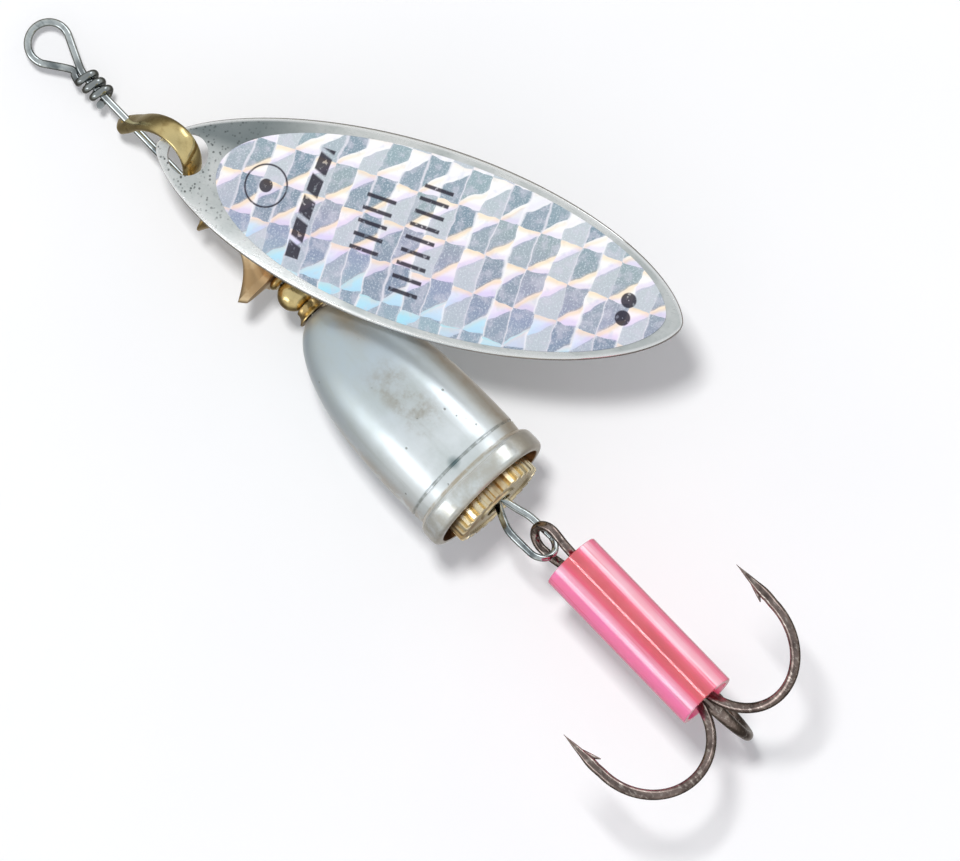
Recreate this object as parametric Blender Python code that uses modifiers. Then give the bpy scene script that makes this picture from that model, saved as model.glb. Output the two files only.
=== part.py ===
"""Inline spinner: shaft wire, clevis, blade, beads, bell, toothed wheel, treble and tube.

The lure hangs along Z with the line eye at the top. The origin is the inner top of the line
eye. -Y is the side the blade hangs on, and +X is the side its tail leans to.
"""
import math

import bmesh
import bpy
from mathutils import Matrix, Vector

MM = 0.001

# Shaft wire
WIRE_RADIUS = 0.30
EYE_RADIUS = 1.60
EYE_CENTRE_X = -0.22
EYE_CENTRE_Z = -1.30
NECK_Z = -3.95
WRAP_RADIUS = 0.66
WRAP_TOP_Z = -5.00
WRAP_PITCH = 0.80
WRAP_TURNS = 3.0
HUB_Z = -50.55
LOOP_HALF_WIDTH = 1.25
LOOP_CENTRE_Z = -54.45
LOOP_CENTRE_X = 0.18
LOOP_TURN = math.radians(38.0)
DOUBLED_END_Z = -43.0
DOUBLED_OFFSET = 0.68
BORE_RADIUS = 0.42

# Clevis
CLEVIS_TURN = math.radians(20.8)
CLEVIS_WIDTH = 1.80
CLEVIS_THICKNESS = 0.70
CLEVIS_MIDDLE_Z = -13.25
CLEVIS_HALF_HEIGHT = 3.05
CLEVIS_BOW_START = -0.60
CLEVIS_BOW_DEPTH = 5.95
CLEVIS_DROOP = 0.165
CLEVIS_TAB_END = -1.40
CLEVIS_FLARE_START = 1.50
CLEVIS_FLARE = 0.55

# Blade and its foil
BLADE_HOLE = Vector((1.50, -3.60, -15.46))
BLADE_TAIL = Vector((19.10, -5.65, -50.90))
BLADE_LEAN = -0.30
BLADE_TIP_PAST_HOLE = 2.65
BLADE_HALF_WIDTH = 7.15
BLADE_NARROW_POWER = 0.65
BLADE_TAIL_POWER = 0.62
BLADE_DOME = 1.75
BLADE_THICKNESS = 0.55
BLADE_HOLE_RADIUS = 1.60
BLADE_PIVOT_DEPTH = 3.85
FOIL_START = 2.60
FOIL_TAIL_MARGIN = 1.30
FOIL_HALF_WIDTH = 6.45
FOIL_SHIFT = -0.05
FOIL_GAP = 0.05
FOIL_THICKNESS = 0.10

# Bell
BELL_TOP_Z = -30.20
BELL_CURVE_TOP_Z = -30.00
BELL_CURVE_LENGTH = 15.00
BELL_RADIUS = 5.12
BELL_CURVE_POWER = 2.60
BELL_WALL = 0.55
BELL_GROOVE_Z = -46.30
BELL_STEP_Z = -47.25
BELL_RING_RADIUS = 5.52
BELL_MOUTH_Z = -49.25
BELL_MOUTH_RADIUS = 4.80

# Toothed wheel and hidden tube
WHEEL_TEETH = 30
WHEEL_TIP_RADIUS = 3.90
WHEEL_ROOT_RADIUS = 3.52
WHEEL_TOP_Z = -48.55
WHEEL_BOTTOM_Z = -50.20
TUBE_OUTER_RADIUS = 1.55
TUBE_INNER_RADIUS = 1.15

# Spur wheel
SPUR_WINGS = 4
SPUR_NECK_RADIUS = 0.80
SPUR_TIP_RADIUS = 3.60
SPUR_VALLEY_RADIUS = 1.75
SPUR_TOP_Z = -20.85
SPUR_FLARE_Z = -22.40
SPUR_RIM_Z = -25.55
SPUR_BOTTOM_Z = -26.05
SPUR_FIRST_WING = math.radians(192.0)

# Treble and its tube
HOOK_WIRE_RADIUS = 0.40
TREBLE_X = 0.98
TREBLE_Y = -0.06
SHANK_RADIUS = 0.49
BEND_RADIUS = 4.95
BEND_CENTRE_Z = -70.65
POINT_Z = -66.65
BARB_Z = -69.85
BARB_REACH = 0.80
POINT_LENGTH = 3.45
HOOK_AZIMUTHS = (206.0, 326.0, 86.0)
SINGLE_HOOK_RAISE = 0.55
RING_X = 0.80
RING_TURN = math.radians(-52.0)
RING_HALF_WIDTH = 1.25
RING_TOP_Z = -53.45
RING_CENTRE_Z = -54.70
SHANK_TOP_Z = -58.40
SLEEVE_TOP_Z = -57.00
SLEEVE_BOTTOM_Z = -71.75
SLEEVE_OUTER_RADIUS = 2.40
SLEEVE_INNER_RADIUS = 1.95


def clear_scene():
    for old in list(bpy.data.objects):
        bpy.data.objects.remove(old, do_unlink=True)


def new_collection(name):
    collection = bpy.data.collections.new(name)
    bpy.context.scene.collection.children.link(collection)
    return collection


clear_scene()
PARTS = new_collection("inline_spinner")
CUTTERS = new_collection("cutters")


def new_material(name, colour, metallic, roughness):
    material = bpy.data.materials.new(name)
    material.use_nodes = True
    shader = material.node_tree.nodes["Principled BSDF"]
    shader.inputs["Base Color"].default_value = (colour[0], colour[1], colour[2], 1.0)
    shader.inputs["Metallic"].default_value = metallic
    shader.inputs["Roughness"].default_value = roughness
    material.diffuse_color = (colour[0], colour[1], colour[2], 1.0)
    return material


def brass(name):
    return new_material(name, (0.62, 0.48, 0.22), 1.0, 0.28)


def silver(name):
    return new_material(name, (0.72, 0.73, 0.71), 1.0, 0.22)


def hook_finish(name):
    return new_material(name, (0.16, 0.13, 0.12), 1.0, 0.30)


def add_object(name, mesh, material, collection=None, origin=None):
    """Put a mesh given in millimetres into the scene, with its origin on the joint axis."""
    origin = Vector(origin) if origin is not None else Vector((0.0, 0.0, 0.0))
    mesh.transform(Matrix.Translation(-origin))
    mesh.transform(Matrix.Scale(MM, 4))
    thing = bpy.data.objects.new(name, mesh)
    thing.location = origin * MM
    target = collection if collection is not None else PARTS
    target.objects.link(thing)
    if material is not None:
        mesh.materials.append(material)
    return thing


def mesh_from_bmesh(name, shape):
    bmesh.ops.recalc_face_normals(shape, faces=shape.faces[:])
    mesh = bpy.data.meshes.new(name)
    shape.to_mesh(mesh)
    shape.free()
    return mesh


def shade_smooth(thing):
    for face in thing.data.polygons:
        face.use_smooth = True


def hide_cutter(thing):
    thing.hide_render = True
    thing.display_type = "WIRE"
    return thing


def add_boolean(thing, tool, operation):
    step = thing.modifiers.new(operation.lower() + "_" + tool.name, "BOOLEAN")
    step.operation = operation
    step.solver = "EXACT"
    step.object = tool
    return step


def arc(centre, radius, start, end, count):
    """Points on a circle in the radius and height plane, angles in degrees."""
    points = []
    for k in range(count + 1):
        angle = math.radians(start + (end - start) * k / count)
        points.append((centre[0] + radius * math.cos(angle), centre[1] + radius * math.sin(angle)))
    return points


def turned(name, profile, material, segments=48):
    """A piece of revolution: the closed profile runs down the outside and up the bore."""
    shape = bmesh.new()
    ring = [shape.verts.new((r, 0.0, z)) for r, z in profile]
    for k, vertex in enumerate(ring):
        shape.edges.new((vertex, ring[(k + 1) % len(ring)]))
    mesh = bpy.data.meshes.new(name)
    shape.to_mesh(mesh)
    shape.free()
    thing = add_object(name, mesh, material)
    screw = thing.modifiers.new("turn", "SCREW")
    screw.axis = "Z"
    screw.angle = 2.0 * math.pi
    screw.steps = segments
    screw.render_steps = segments
    screw.use_merge_vertices = True
    screw.merge_threshold = 0.000001
    screw.use_smooth_shade = True
    return thing


def wire_mesh(name, points, radius, scales=None):
    """The mesh of a round wire along points, given in millimetres, with closed ends."""
    curve = bpy.data.curves.new(name + "_path", "CURVE")
    curve.dimensions = "3D"
    curve.bevel_depth = radius
    curve.bevel_resolution = 2
    curve.use_fill_caps = True
    curve.twist_mode = "MINIMUM"
    spline = curve.splines.new("POLY")
    spline.points.add(len(points) - 1)
    for k, point in enumerate(points):
        spline.points[k].co = (point[0], point[1], point[2], 1.0)
        spline.points[k].radius = scales[k] if scales else 1.0
    path = bpy.data.objects.new(name + "_path", curve)
    path.matrix_world = Matrix.Identity(4)
    PARTS.objects.link(path)
    bpy.context.view_layer.update()
    graph = bpy.context.evaluated_depsgraph_get()
    mesh = bpy.data.meshes.new_from_object(path.evaluated_get(graph))
    bpy.data.objects.remove(path, do_unlink=True)
    shape = bmesh.new()
    shape.from_mesh(mesh)
    bmesh.ops.remove_doubles(shape, verts=shape.verts[:], dist=0.0005)
    bmesh.ops.recalc_face_normals(shape, faces=shape.faces[:])
    shape.to_mesh(mesh)
    shape.free()
    mesh.materials.clear()
    mesh.name = name
    return mesh


def cylinder_cutter(name, centre, direction, radius, length, segments=32):
    shape = bmesh.new()
    bmesh.ops.create_cone(
        shape, cap_ends=True, segments=segments, radius1=radius, radius2=radius, depth=length)
    turn = Vector((0.0, 0.0, 1.0)).rotation_difference(Vector(direction)).to_matrix().to_4x4()
    bmesh.ops.transform(shape, matrix=Matrix.Translation(centre) @ turn, verts=shape.verts[:])
    mesh = mesh_from_bmesh(name, shape)
    return hide_cutter(add_object(name, mesh, None, CUTTERS))


def smooth_path(points, steps):
    """A Catmull-Rom path through the points."""
    path = []
    last = len(points) - 1
    for k in range(last):
        before = Vector(points[max(k - 1, 0)])
        here = Vector(points[k])
        there = Vector(points[k + 1])
        after = Vector(points[min(k + 2, last)])
        for j in range(steps):
            u = j / steps
            path.append(0.5 * (
                2.0 * here + (there - before) * u
                + (2.0 * before - 5.0 * here + 4.0 * there - after) * u * u
                + (3.0 * here - before - 3.0 * there + after) * u * u * u))
    path.append(Vector(points[last]))
    return path


def shaft_path():
    """The wire's centre line: tag end, wraps, line eye, shaft, rear loop, doubled end."""
    points = []
    wrap_steps = int(WRAP_TURNS * 20)
    for k in range(wrap_steps + 1):
        turn = 2.0 * math.pi * WRAP_TURNS * (1.0 - k / wrap_steps)
        angle = math.pi + turn
        height = WRAP_TOP_Z - WRAP_PITCH * WRAP_TURNS * (1.0 - k / wrap_steps)
        points.append(Vector((WRAP_RADIUS * math.cos(angle), WRAP_RADIUS * math.sin(angle), height)))
    points.append(Vector((-0.50, 0.10, NECK_Z - 0.45)))
    points.append(Vector((-0.34, 0.12, NECK_Z)))
    eye_steps = 28
    for k in range(eye_steps + 1):
        angle = math.radians(212.0 - 244.0 * k / eye_steps)
        points.append(Vector((
            EYE_CENTRE_X + EYE_RADIUS * math.cos(angle), 0.0,
            EYE_CENTRE_Z + EYE_RADIUS * math.sin(angle))))
    points.append(Vector((0.34, -0.06, NECK_Z)))
    points.append(Vector((0.12, -0.02, NECK_Z - 0.55)))
    points.append(Vector((0.0, 0.0, WRAP_TOP_Z)))
    points.append(Vector((0.0, 0.0, HUB_Z + 1.6)))
    across = Vector((math.cos(LOOP_TURN), math.sin(LOOP_TURN), 0.0))
    centre = Vector((LOOP_CENTRE_X, 0.0, LOOP_CENTRE_Z))
    side = [
        Vector((0.0, 0.0, HUB_Z + 1.0)),
        Vector((0.0, 0.0, HUB_Z + 0.3)) - 0.12 * across,
        Vector((0.02, 0.0, HUB_Z - 0.8)) - 0.72 * across,
        Vector((0.08, 0.0, HUB_Z - 1.9)) - 1.18 * across,
    ]
    points.extend(smooth_path(side, 3))
    loop_steps = 18
    for k in range(loop_steps + 1):
        angle = math.radians(180.0 + 180.0 * k / loop_steps)
        points.append(
            centre + across * (LOOP_HALF_WIDTH * math.cos(angle))
            + Vector((0.0, 0.0, LOOP_HALF_WIDTH * math.sin(angle))))
    back = [
        Vector((0.10, 0.0, HUB_Z - 1.9)) + 1.24 * across,
        Vector((0.04, 0.0, HUB_Z - 0.8)) + 0.96 * across,
        DOUBLED_OFFSET * across + Vector((0.0, 0.0, HUB_Z + 0.4)),
        DOUBLED_OFFSET * across + Vector((0.0, 0.0, HUB_Z + 1.4)),
        DOUBLED_OFFSET * across + Vector((0.0, 0.0, DOUBLED_END_Z)),
    ]
    points.extend(smooth_path(back[:4], 3))
    points.append(back[4])
    return points


def make_shaft():
    steel = new_material("stainless_wire", (0.55, 0.57, 0.56), 1.0, 0.25)
    thing = add_object("shaft_wire", wire_mesh("shaft_wire", shaft_path(), WIRE_RADIUS), steel)
    shade_smooth(thing)
    return thing


def clevis_path():
    """The strip's centre line in the plane of depth from the shaft and height."""
    tab_middle = (CLEVIS_TAB_END + CLEVIS_BOW_START) / 2.0
    top = CLEVIS_MIDDLE_Z + CLEVIS_HALF_HEIGHT
    points = [(CLEVIS_TAB_END, top), (tab_middle, top)]
    steps = 24
    for k in range(steps + 1):
        angle = math.radians(90.0 - 180.0 * k / steps)
        depth = CLEVIS_BOW_START + CLEVIS_BOW_DEPTH * math.cos(angle)
        points.append((depth, CLEVIS_MIDDLE_Z + CLEVIS_HALF_HEIGHT * math.sin(angle)))
    points.append((CLEVIS_TAB_END, CLEVIS_MIDDLE_Z - CLEVIS_HALF_HEIGHT))
    return [(depth, height + clevis_rise(depth, height)) for depth, height in points]


def clevis_rise(depth, height):
    """The strip droops outward, and its upper tab flares up behind the shaft."""
    rise = -CLEVIS_DROOP * depth
    if height > CLEVIS_MIDDLE_Z and depth < CLEVIS_FLARE_START:
        part = (CLEVIS_FLARE_START - depth) / (CLEVIS_FLARE_START - CLEVIS_TAB_END)
        rise += CLEVIS_FLARE * part ** 1.5
    return rise


def offset_path(points, distance):
    """The path moved sideways in its own plane."""
    moved = []
    for k, point in enumerate(points):
        before = Vector(points[max(k - 1, 0)])
        after = Vector(points[min(k + 1, len(points) - 1)])
        along = (after - before).normalized()
        moved.append((point[0] - along[1] * distance, point[1] + along[0] * distance))
    return moved


def clevis_frame():
    outward = Vector((math.sin(CLEVIS_TURN), -math.cos(CLEVIS_TURN), 0.0))
    across = Vector((math.cos(CLEVIS_TURN), math.sin(CLEVIS_TURN), 0.0))
    return outward, across


def make_clevis():
    outward, across = clevis_frame()
    path = clevis_path()
    outline = offset_path(path, CLEVIS_THICKNESS / 2.0)
    outline += list(reversed(offset_path(path, -CLEVIS_THICKNESS / 2.0)))
    shape = bmesh.new()
    ring = [
        shape.verts.new(outward * depth + Vector((0.0, 0.0, height)) - across * (CLEVIS_WIDTH / 2.0))
        for depth, height in outline]
    face = shape.faces.new(ring)
    block = bmesh.ops.extrude_face_region(shape, geom=[face])
    moved = [item for item in block["geom"] if isinstance(item, bmesh.types.BMVert)]
    bmesh.ops.translate(shape, verts=moved, vec=across * CLEVIS_WIDTH)
    thing = add_object("clevis", mesh_from_bmesh("clevis", shape), brass("clevis_brass"))
    plan = bmesh.new()
    corners = []
    for k in range(13):
        angle = math.radians(90.0 + 180.0 * k / 12)
        radius = CLEVIS_WIDTH / 2.0 + 0.02
        depth = CLEVIS_TAB_END + 0.80 + radius * math.cos(angle)
        corners.append(outward * depth + across * (radius * math.sin(angle)))
    for depth, reach in ((7.0, -1.0), (7.0, 1.0)):
        corners.append(outward * depth + across * (reach * (CLEVIS_WIDTH / 2.0 + 0.02)))
    low = [plan.verts.new(corner + Vector((0.0, 0.0, CLEVIS_MIDDLE_Z - 5.0))) for corner in corners]
    base = plan.faces.new(low)
    block = bmesh.ops.extrude_face_region(plan, geom=[base])
    moved = [item for item in block["geom"] if isinstance(item, bmesh.types.BMVert)]
    bmesh.ops.translate(plan, verts=moved, vec=Vector((0.0, 0.0, 10.0)))
    rounder = hide_cutter(add_object("clevis_plan", mesh_from_bmesh("clevis_plan", plan), None, CUTTERS))
    add_boolean(thing, rounder, "INTERSECT")
    drill = cylinder_cutter(
        "clevis_drill", Vector((0.0, 0.0, CLEVIS_MIDDLE_Z)), (0.0, 0.0, 1.0), BORE_RADIUS, 12.0, 24)
    add_boolean(thing, drill, "DIFFERENCE")
    edge = thing.modifiers.new("soft_edges", "BEVEL")
    edge.width = 0.00014
    edge.segments = 2
    edge.limit_method = "ANGLE"
    edge.angle_limit = math.radians(50.0)
    return thing


def blade_axes():
    along = (BLADE_TAIL - BLADE_HOLE).normalized()
    outward = Vector((0.0, -1.0, 0.0))
    across = along.cross(outward).normalized()
    if across.x < 0.0:
        across = -across
    outward = (outward - along * outward.dot(along)).normalized()
    return along, across, outward


def blade_length():
    return (BLADE_TAIL - BLADE_HOLE).length + BLADE_TIP_PAST_HOLE


def leaf_width(part, narrow_power, tail_power):
    """Width of a leaf outline, 1 at its widest, at a part of its length from the narrow end."""
    widest = narrow_power / (narrow_power + tail_power)
    full = widest ** narrow_power * (1.0 - widest) ** tail_power
    inside = min(max(part, 0.0), 1.0)
    return inside ** narrow_power * (1.0 - inside) ** tail_power / full


def blade_half_width(distance):
    """Half width at a distance from the hole, positive towards the tail."""
    part = (distance + BLADE_TIP_PAST_HOLE) / blade_length()
    return BLADE_HALF_WIDTH * leaf_width(part, BLADE_NARROW_POWER, BLADE_TAIL_POWER)


def blade_height(distance, sideways):
    """How far the domed face stands out from the plane of the edge."""
    part = (distance + BLADE_TIP_PAST_HOLE) / blade_length()
    half = max(blade_half_width(distance), 0.001)
    rise = math.sin(math.pi * min(max(part, 0.0), 1.0) ** 0.85) ** 1.1
    return BLADE_DOME * rise * max(1.0 - (sideways / half) ** 2, 0.0)


def blade_lean(distance):
    """How far the middle of the outline stands beside the long axis."""
    part = (distance + BLADE_TIP_PAST_HOLE) / blade_length()
    return BLADE_LEAN * math.sin(math.pi * min(max(part, 0.0), 1.0) ** 0.6)


def leaf_mesh(name, start, end, half_width, shift, lift, thickness, rows, columns):
    """A closed domed plate: two faces of the same grid and a wall round the rim."""
    along, across, outward = blade_axes()
    shape = bmesh.new()
    sheets = []
    for level in (lift, lift + thickness):
        grid = []
        for i in range(rows + 1):
            part = 0.5 - 0.5 * math.cos(math.pi * i / rows)
            distance = start + (end - start) * part
            count = 0 if i in (0, rows) else columns
            line = []
            for j in range(count + 1):
                slide = math.sin(math.pi * (j / columns - 0.5)) if count else 0.0
                sideways = shift * math.sin(math.pi * part) + slide * half_width(distance)
                height = blade_height(distance, sideways) + level
                sideways += blade_lean(distance)
                line.append(shape.verts.new(
                    BLADE_HOLE + along * distance + across * sideways + outward * height))
            grid.append(line)
        sheets.append(grid)
    for grid in sheets:
        for i in range(rows):
            for j in range(columns):
                if i == 0:
                    shape.faces.new((grid[0][0], grid[1][j], grid[1][j + 1]))
                elif i == rows - 1:
                    shape.faces.new((grid[i][j], grid[i][j + 1], grid[rows][0]))
                else:
                    shape.faces.new((grid[i][j], grid[i][j + 1], grid[i + 1][j + 1], grid[i + 1][j]))
    rims = []
    for grid in sheets:
        rim = [line[0] for line in grid]
        rim += [line[-1] for line in reversed(grid[1:-1])]
        rims.append(rim)
    for k in range(len(rims[0])):
        after = (k + 1) % len(rims[0])
        shape.faces.new((rims[0][k], rims[0][after], rims[1][after], rims[1][k]))
    return mesh_from_bmesh(name, shape)


def blade_pivot():
    outward, across = clevis_frame()
    depth = BLADE_PIVOT_DEPTH
    lean = (depth - CLEVIS_BOW_START) / CLEVIS_BOW_DEPTH
    height = CLEVIS_MIDDLE_Z - CLEVIS_HALF_HEIGHT * math.sqrt(1.0 - lean * lean)
    height -= CLEVIS_DROOP * depth
    return outward * depth + Vector((0.0, 0.0, height))


def make_blade():
    end = blade_length() - BLADE_TIP_PAST_HOLE
    mesh = leaf_mesh(
        "blade", -BLADE_TIP_PAST_HOLE, end, blade_half_width, 0.0,
        -BLADE_THICKNESS / 2.0, BLADE_THICKNESS, 40, 16)
    thing = add_object("blade", mesh, silver("blade_silver"), origin=blade_pivot())
    along, across, outward = blade_axes()
    drill = cylinder_cutter("blade_drill", BLADE_HOLE, outward, BLADE_HOLE_RADIUS, 6.0)
    add_boolean(thing, drill, "DIFFERENCE")
    return thing


def foil_half_width(distance):
    end = blade_length() - BLADE_TIP_PAST_HOLE - FOIL_TAIL_MARGIN
    part = (distance - FOIL_START) / (end - FOIL_START)
    return FOIL_HALF_WIDTH * leaf_width(part, 0.50, 0.56)


def make_foil():
    end = blade_length() - BLADE_TIP_PAST_HOLE - FOIL_TAIL_MARGIN
    mesh = leaf_mesh(
        "blade_foil", FOIL_START, end, foil_half_width, FOIL_SHIFT,
        BLADE_THICKNESS / 2.0 + FOIL_GAP, FOIL_THICKNESS, 30, 12)
    finish = new_material("holographic_foil", (0.62, 0.70, 0.78), 0.6, 0.2)
    return add_object("blade_foil", mesh, finish, origin=blade_pivot())


def make_beads():
    thrust = [(0.75, -18.10), (0.92, -18.25), (1.05, -18.70), (1.97, -19.28), (1.97, -19.48), (1.05, -20.10)]
    thrust += [(0.92, -20.60), (0.75, -20.75), (BORE_RADIUS, -20.75), (BORE_RADIUS, -18.10)]
    turned("thrust_bead", thrust, brass("thrust_bead_brass"))
    spacer = [(0.80, -26.15)] + arc((0.80, -26.45), 0.26, 60.0, -60.0, 6) + [(0.80, -26.78)]
    turned("spacer_bead", spacer + [(BORE_RADIUS, -26.78), (BORE_RADIUS, -26.15)], brass("spacer_bead_brass"))
    ball = []
    for k in range(15):
        angle = math.radians(60.0 - 120.0 * k / 14)
        ball.append((1.38 * math.cos(angle), -28.00 + 1.28 * math.sin(angle)))
    ball += [(BORE_RADIUS, ball[-1][1]), (BORE_RADIUS, ball[0][1])]
    turned("round_bead", ball, brass("round_bead_brass"))
    collar = [(0.86, -29.20), (0.96, -29.28), (1.02, -29.55), (1.20, -29.90), (1.36, -30.05), (1.36, -30.12)]
    turned("collar", collar + [(BORE_RADIUS, -30.12), (BORE_RADIUS, -29.20)], brass("collar_brass"))


def make_spur_wheel():
    """A hub that flares into wings: the section goes from a circle to a star."""
    levels = 12
    count = 48
    shape = bmesh.new()
    rings = []
    heights = [SPUR_TOP_Z, SPUR_FLARE_Z + 0.6]
    heights += [SPUR_FLARE_Z + (SPUR_RIM_Z - SPUR_FLARE_Z) * k / levels for k in range(levels + 1)]
    heights.append(SPUR_BOTTOM_Z)
    for height in heights:
        flare = min(max((SPUR_FLARE_Z - height) / (SPUR_FLARE_Z - SPUR_RIM_Z), 0.0), 1.0)
        ring = []
        for k in range(count):
            angle = 2.0 * math.pi * k / count + SPUR_FIRST_WING
            wing = abs(math.cos(0.5 * SPUR_WINGS * (angle - SPUR_FIRST_WING))) ** 3.0
            edge = SPUR_VALLEY_RADIUS + (SPUR_TIP_RADIUS - SPUR_VALLEY_RADIUS) * wing
            radius = SPUR_NECK_RADIUS + (edge - SPUR_NECK_RADIUS) * flare ** 1.9
            if height == SPUR_BOTTOM_Z:
                radius *= 0.88
            ring.append(shape.verts.new((radius * math.cos(angle), radius * math.sin(angle), height)))
        rings.append(ring)
    bore = []
    for height in (SPUR_BOTTOM_Z, SPUR_TOP_Z):
        bore.append([
            shape.verts.new((
                BORE_RADIUS * math.cos(2.0 * math.pi * k / count + SPUR_FIRST_WING),
                BORE_RADIUS * math.sin(2.0 * math.pi * k / count + SPUR_FIRST_WING), height))
            for k in range(count)])
    loops = rings + bore + [rings[0]]
    for first, second in zip(loops[:-1], loops[1:]):
        for k in range(count):
            after = (k + 1) % count
            shape.faces.new((first[k], first[after], second[after], second[k]))
    thing = add_object("spur_wheel", mesh_from_bmesh("spur_wheel", shape), brass("spur_wheel_brass"))
    shade_smooth(thing)
    return thing


def bell_curve_radius(height, full_radius):
    part = min(max((BELL_CURVE_TOP_Z - height) / BELL_CURVE_LENGTH, 0.0), 1.0)
    return full_radius * math.sqrt(1.0 - (1.0 - part) ** BELL_CURVE_POWER)


def make_bell():
    profile = []
    steps = 17
    for k in range(steps + 1):
        height = BELL_TOP_Z + (BELL_CURVE_TOP_Z - BELL_CURVE_LENGTH - BELL_TOP_Z) * (k / steps) ** 1.6
        profile.append((bell_curve_radius(height, BELL_RADIUS), height))
    profile += [
        (BELL_RADIUS, BELL_GROOVE_Z + 0.16), (BELL_RADIUS - 0.14, BELL_GROOVE_Z + 0.05),
        (BELL_RADIUS - 0.14, BELL_GROOVE_Z - 0.05), (BELL_RADIUS - 0.02, BELL_GROOVE_Z - 0.16),
        (BELL_RADIUS - 0.10, BELL_STEP_Z + 0.20), (BELL_RADIUS - 0.12, BELL_STEP_Z)]
    profile += arc((BELL_RING_RADIUS - 0.62, BELL_STEP_Z - 0.68), 0.62, 78.0, 0.0, 6)
    profile += [(BELL_RING_RADIUS, BELL_MOUTH_Z + 0.75)]
    profile += arc((BELL_RING_RADIUS - 0.48, BELL_MOUTH_Z + 0.45), 0.45, -10.0, -90.0, 5)
    profile += [(BELL_MOUTH_RADIUS, BELL_MOUTH_Z), (BELL_MOUTH_RADIUS - 0.05, BELL_MOUTH_Z + 0.30)]
    inner = BELL_RADIUS - BELL_WALL
    profile += [(inner, BELL_STEP_Z), (inner, BELL_CURVE_TOP_Z - BELL_CURVE_LENGTH)]
    inner_top = BELL_TOP_Z - 0.9
    for k in range(1, 10):
        part = 1.0 - k / 9
        height = inner_top + (BELL_CURVE_TOP_Z - BELL_CURVE_LENGTH - inner_top) * part ** 1.5
        curve = bell_curve_radius(height + 0.45, inner)
        profile.append((curve, height))
    profile += [(BORE_RADIUS, inner_top), (BORE_RADIUS, BELL_TOP_Z)]
    return turned("bell", profile, silver("bell_silver"), 56)


def make_spacer_tube():
    top = BELL_TOP_Z - 0.9 - 0.08
    bottom = WHEEL_TOP_Z + 0.08
    profile = [
        (TUBE_OUTER_RADIUS, top), (TUBE_OUTER_RADIUS, bottom),
        (TUBE_INNER_RADIUS, bottom), (TUBE_INNER_RADIUS, top)]
    return turned("spacer_tube", profile, brass("spacer_tube_brass"), 40)


def make_toothed_wheel():
    shape = bmesh.new()
    outline = []
    pitch = 2.0 * math.pi / WHEEL_TEETH
    for tooth in range(WHEEL_TEETH):
        middle = tooth * pitch
        for offset, radius in (
                (-0.36, WHEEL_ROOT_RADIUS), (-0.24, WHEEL_TIP_RADIUS),
                (0.24, WHEEL_TIP_RADIUS), (0.36, WHEEL_ROOT_RADIUS)):
            angle = middle + offset * pitch
            outline.append(shape.verts.new((
                radius * math.cos(angle), radius * math.sin(angle), WHEEL_BOTTOM_Z)))
    face = shape.faces.new(outline)
    block = bmesh.ops.extrude_face_region(shape, geom=[face])
    moved = [item for item in block["geom"] if isinstance(item, bmesh.types.BMVert)]
    bmesh.ops.translate(shape, verts=moved, vec=Vector((0.0, 0.0, WHEEL_TOP_Z - WHEEL_BOTTOM_Z)))
    thing = add_object(
        "toothed_wheel", mesh_from_bmesh("toothed_wheel", shape), brass("toothed_wheel_brass"))
    drill = cylinder_cutter(
        "wheel_drill", Vector((0.0, 0.0, WHEEL_TOP_Z)), (0.0, 0.0, 1.0), TUBE_INNER_RADIUS, 8.0, 40)
    add_boolean(thing, drill, "DIFFERENCE")
    return thing


def hook_direction(azimuth):
    angle = math.radians(azimuth)
    return Vector((math.cos(angle), math.sin(angle), 0.0))


def treble_point(direction, reach, height):
    return Vector((TREBLE_X, TREBLE_Y, height)) + direction * reach


def bend_path(azimuth):
    """From the shank round the bend to the point, with the wire's thickness along it."""
    direction = hook_direction(azimuth)
    centre = SHANK_RADIUS + BEND_RADIUS
    path = []
    scales = []
    steps = 26
    for k in range(steps + 1):
        angle = math.radians(180.0 + 180.0 * k / steps)
        path.append(treble_point(
            direction, centre + BEND_RADIUS * math.cos(angle),
            BEND_CENTRE_Z + BEND_RADIUS * math.sin(angle)))
        scales.append(1.0)
    tip = SHANK_RADIUS + 2.0 * BEND_RADIUS + 0.06
    base_z = POINT_Z - POINT_LENGTH
    for k in range(7):
        part = k / 6.0
        path.append(treble_point(direction, tip, base_z + POINT_LENGTH * part))
        scales.append(max(1.0 - part ** 1.15, 0.06))
    return path, scales


def barb_mesh(name, azimuth, height):
    """A small wedge on the inner side of the point."""
    direction = hook_direction(azimuth)
    tip = SHANK_RADIUS + 2.0 * BEND_RADIUS + 0.06
    foot = treble_point(direction, tip - 0.02, height + 1.55)
    end = treble_point(direction, tip - BARB_REACH, height)
    shape = bmesh.new()
    bmesh.ops.create_cone(
        shape, cap_ends=True, segments=10, radius1=0.20, radius2=0.045, depth=(end - foot).length)
    turn = Vector((0.0, 0.0, 1.0)).rotation_difference(end - foot).to_matrix().to_4x4()
    bmesh.ops.transform(
        shape, matrix=Matrix.Translation((foot + end) / 2.0) @ turn, verts=shape.verts[:])
    return mesh_from_bmesh(name, shape)


def add_barb(thing, azimuth, height=BARB_Z):
    name = "barb_" + str(int(azimuth))
    barb = hide_cutter(add_object(name, barb_mesh(name, azimuth, height), None, CUTTERS))
    add_boolean(thing, barb, "UNION")


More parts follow.
